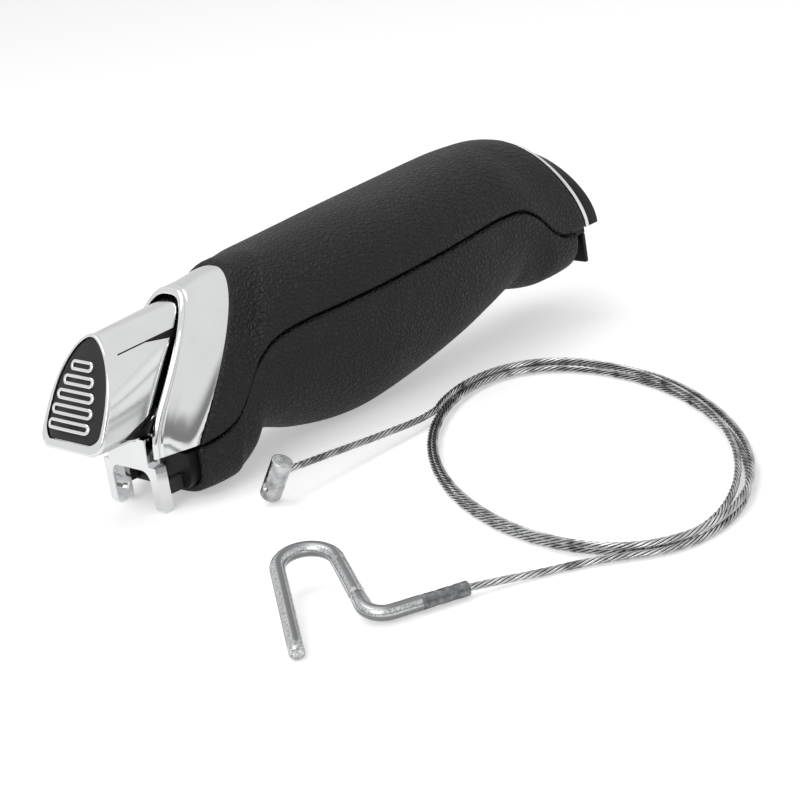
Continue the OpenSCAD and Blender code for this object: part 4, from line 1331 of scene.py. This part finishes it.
@dataclass
class ReleaseCable:
    """The loose cable: a barrel nipple, a wire rope in an oval coil, a crimped ferrule and a bent hook.

    Attributes:
        rope_d: Diameter of the rope.
        strands: Strands round its core.
        strand_angles: Places of points on a strand, as angles round the rope's middle in degrees.
        groove_shade_power: Power by which the grooves between the strands are painted darker.
        lay: Length in which a strand goes once round.
        ring_step: Distance between the rings of the rope's mesh.
        coil_centre: Middle of the coil.
        coil_r: Long and short half axes of the coil.
        coil_turn: Angle of its long axis in degrees.
        coil_from: Place on the oval where the lead comes in, in degrees.
        coil_sweep: How far the rope runs round the oval, in degrees.
        braid_r: Radius at which the turns twist round each other.
        braid_from: Place on that twist where the lead comes in, in degrees.
        braid_turns: Turns of that twist for each turn of the coil.
        loose: How far the turns lie apart, as a factor at places on the oval in degrees.
        lead: Route from the nipple to the coil.
        tail: Route from the coil to the ferrule.
        nipple: Section of the nipple, as heights over its foot and the radius there.
        nipple_turn: Angles of the nipple about x, y and z, in degrees.
        nipple_foot: Place of the nipple's foot.
        dimples: Places of its dimples, as an angle round it and a share of its height.
        dimple_r: Radius of a dimple.
        dimple_depth: Depth of a dimple as a share of the nipple's radius.
    """

    rope_d: float = 1.5
    strands: int = 6
    strand_angles: Sequence[float] = (-30, -21, -11, 0, 11, 21)
    groove_shade_power: float = 0.6
    lay: float = 10.5
    ring_step: float = 0.6
    coil_centre: Pair = (59.5, -70.5)
    coil_r: Pair = (56.2, 29.4)
    coil_turn: float = 56.0
    coil_from: float = 46.9
    coil_sweep: float = 957.7
    braid_r: float = 0.9
    braid_from: float = 50.0
    braid_turns: float = 2 / 3
    loose: Pairs = (
        (0, 1.2), (45, 1.5), (90, 1.0), (135, 1.5), (180, 1.25), (225, 1.9), (270, 1.2), (315, 1.7),
        (360, 1.2),
    )
    lead: Rows = (
        (16, -29, 6.6), (25, -28.4, 5.6), (33, -28, 4.7), (41, -27.6, 3.8), (49, -27.4, 3.1),
        (56, -27.2, 2.6),
    )
    tail: Rows = (
        (16, -107, 1), (10, -102.9, 1), (3.7, -99.2, 1.4), (-1.9, -96.6, 1.9),
    )
    nipple: Pairs = (
        (0, 0.0), (0.05, 0.9), (0.2, 1.45), (0.45, 1.85), (0.8, 2.12), (1.2, 2.23), (1.6, 2.25), (9.6, 2.25),
        (9.74, 2.21), (9.785, 2.13), (9.795, 2.0), (9.8, 0.0),
    )
    nipple_turn: Point = (30, 0, 18)
    nipple_foot: Point = (13, -26, 1.15)
    dimples: Pairs = ((157, 0.32), (267, 0.4))
    dimple_r: float = 1.1
    dimple_depth: float = 0.34

    def coil(self) -> np.ndarray:
        """Points of the turns, which twist round each other as they run clockwise round the oval."""
        steps = round(self.coil_sweep / 5)
        swept = np.linspace(0, self.coil_sweep, steps + 1)
        a = np.radians(self.coil_from - swept)
        twist = np.radians(self.braid_from + swept * self.braid_turns)
        out = joined(np.cos(a) / self.coil_r[0], np.sin(a) / self.coil_r[1])
        out /= np.linalg.norm(out, axis=1)[:, None]
        flat = joined(self.coil_r[0] * np.cos(a), self.coil_r[1] * np.sin(a))
        apart = self.braid_r * curve(self.loose, np.degrees(a) % 360)
        flat += out * (apart * np.cos(twist))[:, None]
        turn = math.radians(self.coil_turn)
        x = self.coil_centre[0] + flat[:, 0] * math.cos(turn) - flat[:, 1] * math.sin(turn)
        y = self.coil_centre[1] + flat[:, 0] * math.sin(turn) + flat[:, 1] * math.cos(turn)
        z = self.rope_d / 2 + self.braid_r * (1 + np.sin(twist))
        return joined(x, y, z)

    def build_rope(self) -> tuple[Piece, np.ndarray]:
        """Make the rope as strands round a core, with painted shade in the grooves between them.

        Returns:
            The rope and the points along its middle.
        """
        route = np.concatenate([np.array(self.lead), self.coil(), np.array(self.tail)])
        path = smooth_path(route, self.ring_step)
        strand_r = self.rope_d / 6
        off = np.radians(self.strand_angles)
        beside = 2 * strand_r * np.sin(off)
        reach = 2 * strand_r * np.cos(off) + np.sqrt(np.maximum(0, strand_r**2 - beside**2))
        around = np.concatenate([off + 2 * math.pi * k / self.strands for k in range(self.strands)])
        radius = np.tile(reach, self.strands)
        wound = around[None] + (np.arange(len(path)) * self.ring_step / self.lay * 2 * math.pi)[:, None]
        rope = ring_stack("wire_rope", tube_rings(path, radius, wound), 60.0)
        # Painted shade: 0 on the strands' crests, 1 deep in the grooves between them.
        depth = np.tile(((radius.max() - radius) / np.ptp(radius)) ** self.groove_shade_power, len(path))
        paint_shade_mask(rope, depth)
        dress(rope, ROPE, Body.GRIP, "cable_lead", "cable_coil", "cable_tail")
        return rope, path

    def build_nipple(self) -> Piece:
        """Make the cast barrel with a rounded foot, a flat top and two dimples."""
        knots, radii = np.array(self.nipple).T
        h = np.unique(np.concatenate([knots, np.linspace(1.6, 9.4, 48)]))[:, None]
        r = np.interp(h, knots, radii)
        a = circle(72)
        rings = joined(r * np.cos(a), r * np.sin(a), h)
        for turn, share in self.dimples:
            middle = np.append(radii.max() * HOOK.heading(turn)[:2], knots[-1] * share)
            near = np.clip(1 - np.linalg.norm(rings - middle, axis=2) / self.dimple_r, 0, 1)
            rings[..., :2] *= (1 - self.dimple_depth * near * near * (3 - 2 * near))[..., None]
        barrel = ring_stack("nipple_barrel", turned(rings, self.nipple_turn, self.nipple_foot), 50.0)
        return dress(barrel, ZINC, Body.GRIP, "barrel_nipple")

    def build(self) -> None:
        """Make the rope and what is on it."""
        rope, path = self.build_rope()
        nipple = self.build_nipple()
        hook = HOOK.build_wire()
        ferrule = HOOK.build_ferrule()


@dataclass
class WireHook:
    """The hook of bent wire and the ferrule that joins it to the rope.

    Attributes:
        wire_d: Diameter of the wire.
        foot: Place of the free leg's end.
        turn: Angle of the hook's plane about the upright.
        tilt: Tilt of that plane about its foot line.
        lean: Angle of the free leg in the plane.
        leg: Length of the free leg.
        inner_r: Inner radius of the arch.
        arch: Sweep of the arch.
        back: Length of the leg that comes back down.
        bend_r: Radius of the bend to the shank.
        shank_angle: Angle of the shank in the plane.
        shank: Length of the shank.
        ferrule_d: Diameter of the ferrule.
        ferrule_l: Length of the ferrule.
        ferrule_roll: Radius of its edge towards the rope.
        ring_step: Distance between the rings of the wire's mesh.
        end_roll: Radius of the free end's edge.
        marks: Nicks and swellings, as a share of the wire's length, the change of radius and its reach.
        bands: Places of the bands pressed into the ferrule, as shares of its length.
        band_reach: Half of a band's width, as a share of its length.
        band_depth: Least depth of a band. It is three times as deep on its six dents.
        ripple: Height of the ferrule's unevenness.
        sides: Points round the wire.
        reflection_bands: Number of painted reflection bands round the wire, light and dark, which run along
            it.
        reflection_band_turn: Angle of the first band.
    """

    wire_d: float = 3.0
    foot: Point = (-35.2, -87.0, 1.5)
    turn: float = -19.0
    tilt: float = 12.0
    lean: float = 72.7
    leg: float = 26.5
    inner_r: float = 4.1
    arch: float = 172.0
    back: float = 16.0
    bend_r: float = 3.8
    shank_angle: float = -3.0
    shank: float = 5.5
    ferrule_d: float = 2.9
    ferrule_l: float = 9.4
    ferrule_roll: float = 0.15
    ring_step: float = 0.4
    end_roll: float = 0.5
    marks: Rows = ((0.63, -0.1, 0.5), (0.785, -0.3, 0.6), (0.825, 0.1, 2.2))
    bands: Pair = (0.33, 0.67)
    band_reach: float = 0.09
    band_depth: float = 0.03
    ripple: float = 0.035
    sides: int = 40
    reflection_bands: int = 4
    reflection_band_turn: float = 0.6

    @staticmethod
    def heading(degrees: float) -> np.ndarray:
        """Unit vector in the hook's plane."""
        return np.array([math.cos(math.radians(degrees)), math.sin(math.radians(degrees)), 0.0])

    def arc(self, centre: np.ndarray, r: float, start: float, end: float, steps: int) -> np.ndarray:
        """Points of an arc in the hook's plane."""
        return np.array([centre + r * self.heading(a) for a in np.linspace(start, end, steps)])

    def line(self) -> tuple[np.ndarray, np.ndarray]:
        """The wire's middle line.

        Returns:
            Its points in the hook's plane, and the end of the shank.
        """
        arch_r = self.inner_r + self.wire_d / 2
        arch_start = self.leg * self.heading(self.lean)
        arch_centre = arch_start + arch_r * self.heading(self.lean - 90)
        down = self.lean - self.arch
        arch_end = arch_centre + arch_r * self.heading(down + 90)
        bend_start = arch_end + self.back * self.heading(down)
        bend_centre = bend_start + self.bend_r * self.heading(down + 90)
        bend_end = bend_centre + self.bend_r * self.heading(self.shank_angle - 90)
        shank_end = bend_end + self.shank * self.heading(self.shank_angle)
        points = np.concatenate([
            np.linspace([0, 0, 0], arch_start, 24)[:-1],
            self.arc(arch_centre, arch_r, self.lean + 90, down + 90, 40),
            np.linspace(arch_end, bend_start, 24)[1:-1],
            self.arc(bend_centre, self.bend_r, down - 90, self.shank_angle - 90, 24),
            np.linspace(bend_end, shank_end, 8)[1:],
        ])
        return points, shank_end

    def placed(self, points: np.ndarray) -> np.ndarray:
        """Put points of the hook's plane on the bench."""
        tilted = turned(points, (self.tilt, 0, 0), (0, 0, 0))
        return turned(tilted, (0, 0, self.turn), self.foot)

    def build_wire(self) -> Piece:
        """Make the wire, its free end rounded, with nicks, a swelling where it bends and painted reflection
        bands along it.
        """
        points, _ = self.line()
        path = smooth_path(points, self.ring_step)
        along = np.arange(len(path)) * self.ring_step
        radius = self.wire_d / 2 - rolled(along, self.end_roll)
        for place, change, reach in self.marks:
            radius += change * np.clip(1 - np.abs(along - along[-1] * place) / reach, 0, 1)
        around = circle(self.sides)
        wire = ring_stack("hook_wire", self.placed(tube_rings(path, radius[:, None], around)), 50.0)
        # Painted reflection: light and dark bands round the wire, faded out at its free end, in the worn
        # colour.
        reflection_bands = 0.5 + 0.5 * np.cos(self.reflection_bands * around + self.reflection_band_turn)
        from_end = np.clip(along / self.wire_d, 0, 1)
        paint_shade_mask(wire, np.outer(from_end, reflection_bands).ravel())
        return dress(wire, ZINC_PAINTED_BANDS, Body.GRIP, "cable_hook")

    def build_ferrule(self) -> Piece:
        """Make the ferrule, flush with the hook, with two faint pressed bands and a square end."""
        _, start = self.line()
        h = np.linspace(0, self.ferrule_l, 60)
        share = h / self.ferrule_l
        pressed = sum(np.clip(1 - np.abs(share - band) / self.band_reach, 0, 1) for band in self.bands)
        ends = rolled(self.ferrule_l - h, self.ferrule_roll)
        a = circle(48)
        dents = self.band_depth * (2 + np.cos(6 * a)) * np.minimum(pressed, 1)[:, None]
        uneven = self.ripple * (np.sin(40 * share)[:, None] * np.cos(5 * a) - 1)
        radius = self.ferrule_d / 2 - ends[:, None] - dents + uneven
        way = self.heading(self.shank_angle)
        side = self.heading(self.shank_angle + 90)
        spokes = np.cos(a)[:, None] * side + np.sin(a)[:, None] * np.array([0, 0, 1.0])
        rings = start + h[:, None, None] * way + radius[..., None] * spokes[None]
        sleeve = ring_stack("crimped_ferrule", self.placed(rings), 45.0)
        return dress(sleeve, CRIMPED, Body.GRIP, "hook_ferrule")


HOOK = WireHook()


# The studio


@dataclass
class Studio:
    """The camera, the pale floor and the soft light.

    Attributes:
        eye: Place of the camera on the bench.
        azimuth: Direction of the camera about the upright, in degrees.
        elevation: Height of the camera over the horizon, in degrees.
        roll: Roll of the camera, in degrees.
        lens: Focal length in millimetres.
        sensor: Width of the sensor in millimetres.
        floor: Half of the floor's side in metres.
        paper: Brightness of the floor's paper.
        glow: Light that the paper lets through, as the eye and metal see it.
        light: Strength of the tent's light.
        patches: Patches of the tent, each a direction, the cosines at its rim and its core, and its darkness.
        foot: Heights between which the last patch fades out upward.
        dark: Brightness of a patch that is wholly dark.
    """

    eye: Point = (-258.7, -372.1, 168.6)
    azimuth: float = -42.0
    elevation: float = 19.0
    roll: float = 9.5
    lens: float = 103.5
    sensor: float = 36.0
    floor: float = 1.6
    paper: float = 0.82
    glow: float = 0.42
    light: float = 0.5
    patches: tuple[tuple[Point, float, float, float], ...] = (
        ((0.75, 0.62, 0.12), 0.7, 0.92, 0.18),
        ((-0.34, -0.93, 0.12), 0.965, 0.99, 0.7),
        ((-0.5, -0.86, 0.0), 0.4, 0.75, 0.75),
    )
    foot: Pair = (0.26, 0.08)
    dark: float = 0.05

    def build_camera(self) -> None:
        """Set the camera at the photograph's viewing angle."""
        az, el = math.radians(self.azimuth), math.radians(self.elevation)
        back = Vector((math.sin(az) * math.cos(el), -math.cos(az) * math.cos(el), math.sin(el)))
        right = Vector((math.cos(az), math.sin(az), 0.0))
        turn = Matrix((right, back.cross(right), back)).transposed()
        data = bpy.data.cameras.new("camera")
        data.lens = self.lens
        data.sensor_width = self.sensor
        data.clip_start, data.clip_end = 0.01, 20.0
        camera = add_object("camera", data)
        turn = turn @ Matrix.Rotation(math.radians(-self.roll), 3, "Z")
        camera.matrix_world = Matrix.Translation(Vector(on_bench(self.eye))) @ turn.to_4x4()
        bpy.context.scene.camera = camera

    def build_floor(self) -> None:
        """Lay the floor: pale, white where the light reaches it, and darker in the shadow."""
        mesh = bpy.data.meshes.new("floor")
        z = float(on_bench([0, 0, 0])[2])
        corners = [(self.floor * x, self.floor * y, z) for x, y in ((-1, -1), (1, -1), (1, 1), (-1, 1))]
        mesh.from_pydata(corners, [], [(0, 1, 2, 3)])
        floor = add_object("floor", mesh)
        material = bpy.data.materials.new("floor_paper")
        draft = blank_draft(material)
        rays = draft.add("ShaderNodeLightPath")
        seen = draft.math("MAXIMUM", rays.outputs["Is Camera Ray"], rays.outputs["Is Glossy Ray"])
        seen = draft.math("MAXIMUM", seen, rays.outputs["Is Transmission Ray"])
        paper = draft.add("ShaderNodeBsdfDiffuse", {"Color": (*(self.paper,) * 3, 1.0)})
        glow = draft.add("ShaderNodeEmission", {"Strength": draft.math("MULTIPLY", seen, self.glow)})
        both = draft.add("ShaderNodeAddShader", {0: paper.outputs[0], 1: glow.outputs[0]})
        draft.add("ShaderNodeOutputMaterial", {"Surface": both.outputs[0]})
        mesh.materials.append(material)

    def build_world(self) -> None:
        """Light the scene from a pale tent, which metal sees as white panels with darker patches."""
        world = bpy.data.worlds.new("tent")
        bpy.context.scene.world = world
        draft = blank_draft(world)
        rays = draft.add("ShaderNodeLightPath")
        way = draft.add("ShaderNodeTexCoord").outputs["Generated"]
        gap, flag, corner = (self.patch(draft, way, *patch) for patch in self.patches)
        low = draft.soft_step(self.along(draft, way, (0, 0, 1)), *self.foot)
        corner = draft.math("MULTIPLY", corner, low)
        shade = draft.math("MAXIMUM", draft.math("MAXIMUM", gap, flag), corner)
        panels = draft.ramp(shade, [(0.0, (1.0,) * 3), (1.0, (self.dark,) * 3)])
        soft = draft.add("ShaderNodeBackground", {"Color": (1.0, 1.0, 1.0, 1.0), "Strength": self.light})
        mirrored = draft.add("ShaderNodeBackground", {"Color": panels, "Strength": 1.0})
        white = draft.add("ShaderNodeBackground", {"Color": (1.0, 1.0, 1.0, 1.0), "Strength": 1.0})
        shiny = draft.math("MAXIMUM", rays.outputs["Is Glossy Ray"], rays.outputs["Is Transmission Ray"])
        inner = draft.add("ShaderNodeMixShader", {0: shiny, 1: soft.outputs[0], 2: mirrored.outputs[0]})
        outer = draft.add("ShaderNodeMixShader", {
            0: rays.outputs["Is Camera Ray"], 1: inner.outputs[0], 2: white.outputs[0],
        })
        draft.add("ShaderNodeOutputWorld", {"Surface": outer.outputs[0]})

    @staticmethod
    def along(draft: Draft, way: Socket, centre: Sequence[float]) -> Socket:
        """Cosine of the angle between a direction and a patch's middle."""
        unit = tuple(Vector(centre).normalized())
        return draft.add("ShaderNodeVectorMath", {0: way, 1: unit}, operation="DOT_PRODUCT").outputs["Value"]

    def patch(
        self, draft: Draft, way: Socket, centre: Point, rim: float, core: float, darkness: float
    ) -> Socket:
        """Shade a soft round patch of the tent.

        Args:
            draft: The draft of the world.
            way: The direction that is looked up.
            centre: Direction of the patch's middle.
            rim: Cosine of the angle at which the patch begins.
            core: Cosine of the angle at which it is full.
            darkness: Its shade where it is full.

        Returns:
            The shade, from 0 to 1.
        """
        mask = draft.soft_step(self.along(draft, way, centre), rim, core)
        return draft.math("MULTIPLY", mask, darkness)

    def add_panel(self, name: str, place: Point, aim: Point, size: float, watts: float) -> None:
        """Hang a soft light.

        Args:
            name: Name of the light.
            place: Its place on the bench, in millimetres.
            aim: The point that it faces.
            size: Its side in millimetres.
            watts: Its power.
        """
        data = bpy.data.lights.new(name, "AREA")
        data.shape = "SQUARE"
        data.size = size * MM
        data.energy = watts
        light = add_object(name, data)
        at, to = Vector(on_bench(place)), Vector(on_bench(aim))
        light.matrix_world = Matrix.Translation(at) @ (to - at).to_track_quat("-Z", "Y").to_matrix().to_4x4()

    def build(self) -> None:
        """Set up the floor, the tent and the lights."""
        self.build_floor()
        self.build_world()
        middle = (60, -40, 20)
        self.add_panel("top_panel", (-60, 120, 700), middle, 500, 1.8)
        self.add_panel("side_panel", (-500, -260, 420), middle, 420, 1.5)


def main() -> None:
    """Build the classes in order."""
    logging.basicConfig(level=logging.INFO, format="%(name)s: %(message)s")
    bpy.context.scene.view_settings.view_transform = "Standard"
    studio = Studio()
    studio.build_camera()
    for part in (ReleaseCable(), LeatherCover(), ChromeBezel(), RearTrim(), BEAK, Face(), Works(), studio):
        part.build()


if __name__ == "__main__":
    main()
